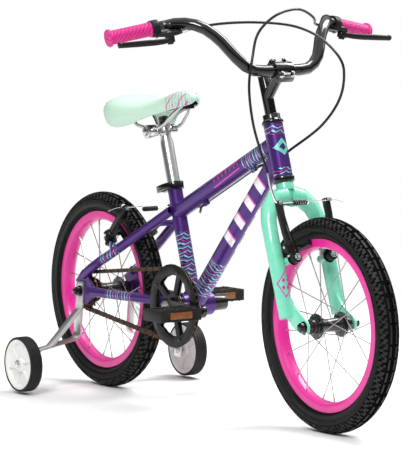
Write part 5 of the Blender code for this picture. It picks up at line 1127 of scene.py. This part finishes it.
for side, label in ((-1, "right"), (1, "left")):
    finished(f"stabiliser_bracket_{label}", strap_zinc, bevel=0.0007)
    centre = Vector((STABILISER_X, side * STABILISER_SIDE, STABILISER_HEIGHT))
    disc = lathe(f"stabiliser_disc_{label}", centre, (0, side, 0), DISC_PROFILE, 72, milky)
    stand_for(disc, f"stabiliser_wheel_{label}")
    ribs = []
    for number in range(DISC_RIBS):
        turn = 2 * math.pi * (number + 0.25) / DISC_RIBS
        middle = centre + Vector((math.cos(turn), 0, math.sin(turn))) * RIB_MIDDLE
        ribs.append(moulded_block(middle, RIB_SIZE, turn, 0.0008, 2))
    joined(f"stabiliser_ribs_{label}", ribs, f"stabiliser_wheel_{label}", milky)
    tread = lathe(f"stabiliser_tread_{label}", centre, (0, side, 0), TREAD_PROFILE, 72, rubber)
    stand_for(tread, f"stabiliser_tyre_{label}")
    nut_face = Vector((STABILISER_X, side * NUT_SIDE, STABILISER_HEIGHT))
    joined(f"stabiliser_nut_{label}",
           [drum(nut_face, nut_face + Vector((0, side * 0.0010, 0)), 0.0090, 24, 0.0002),
            bolt(nut_face + Vector((0, side * 0.0009, 0)), (0, side, 0), 0.0066, 0.0036)],
           "frame", bright_steel)


# Brake cables: steel wire in black lined housing, led from each lever in its own bend.
# The front one ends in its noodle, the rear one at stops under the top tube, between which
# its wire runs in a thin liner.

housing = Finish("cable_housing", Specular_IOR_Level=0.35, Coat_Weight=0.2,
                 Coat_Roughness=0.12)
wear = housing.noise(180.0, 3.0)
housing.look(Base_Color=housing.mix(wear, (0.004, 0.004, 0.004), (0.010, 0.010, 0.010)),
             Roughness=0.28 + 0.12 * wear)
housing.bump(housing.noise(900.0, 1.0), 0.00002)


CABLE_RADIUS = 0.0025
POINT_SPACING = 0.016
FINE_STEPS = 20


def smooth_route(points, spacing):
    """Even points on a smooth curve through the given ones."""
    knots = [Vector(point) for point in points]
    knots = [2 * knots[0] - knots[1]] + knots + [2 * knots[-1] - knots[-2]]
    fine = []
    for index in range(1, len(knots) - 2):
        a, b, c, d = knots[index - 1:index + 3]
        for step in range(FINE_STEPS):
            t = step / FINE_STEPS
            fine.append(0.5 * (2 * b + (c - a) * t + (2 * a - 5 * b + 4 * c - d) * t * t
                               + (3 * b - a - 3 * c + d) * t ** 3))
    fine.append(knots[-2])
    lengths = [0.0]
    for before, after in zip(fine, fine[1:]):
        lengths.append(lengths[-1] + (after - before).length)
    count = max(16, round(lengths[-1] / spacing))
    even = []
    index = 0
    for step in range(count + 1):
        wanted = lengths[-1] * step / count
        while index < len(fine) - 2 and lengths[index + 1] < wanted:
            index += 1
        share = (wanted - lengths[index]) / (lengths[index + 1] - lengths[index])
        even.append(fine[index].lerp(fine[index + 1], min(1.0, share)))
    return even


CABLES = {
    "front_brake_cable": [
        (0.5369, 0.14484, 0.73236), (0.53899, 0.13322, 0.73452), (0.577, 0.099, 0.750),
        (0.606, 0.045, 0.765), (0.617, -0.012, 0.755), (0.6145, -0.050, 0.7235),
        (0.6265, -0.072, 0.678), (0.630, -0.082, 0.6255), (0.6445, -0.0845, 0.564),
        (0.663, -0.0815, 0.514), (0.67563, -0.0735, 0.47149)],
    "rear_brake_cable_loop": [
        (0.5369, -0.14484, 0.73236), (0.53899, -0.13322, 0.73452), (0.562, -0.090, 0.741),
        (0.585, -0.030, 0.742), (0.6115, 0.030, 0.7347), (0.645, 0.065, 0.714),
        (0.679, 0.085, 0.678), (0.685, 0.092, 0.645), (0.675, 0.088, 0.5985),
        (0.648, 0.066, 0.550), (0.583, 0.042, 0.5036), (0.563, 0.026, 0.485),
        (0.5425, 0, 0.47292), (0.53157, 0, 0.46796)],
    "rear_brake_cable_run": [
        (0.35889, 0, 0.38968), (0.34796, 0, 0.38472), (0.320, 0.015, 0.3715),
        (0.295, 0.033, 0.3745), (0.262, 0.054, 0.376), (0.228, 0.070, 0.3725),
        (0.20208, 0.076, 0.36816)],
}
for node, route in CABLES.items():
    points = smooth_route(route, POINT_SPACING)
    length = sum((after - before).length for before, after in zip(points, points[1:]))
    bpy.ops.curve.primitive_nurbs_path_add()
    cable = bpy.context.object
    cable.data.splines.clear()
    cable.data.dimensions = "3D"
    cable.data.resolution_u = 6
    cable.data.bevel_depth = CABLE_RADIUS
    cable.data.bevel_resolution = 4
    cable.data.use_fill_caps = True
    spline = cable.data.splines.new("BEZIER")
    spline.bezier_points.add(len(points) - 1)
    for knot, point in zip(spline.bezier_points, points):
        knot.co = point
        knot.handle_left_type = "AUTO"
        knot.handle_right_type = "AUTO"
    cable.name = f"{node}_housing"
    cable.data.materials.append(housing.material)
    stand_for(cable, node)
joined("rear_brake_inner_wire",
       [drum((0.53021, 0, 0.46734), (0.35913, 0, 0.38979), 0.0014, 10, 0.0)],
       "frame", housing)
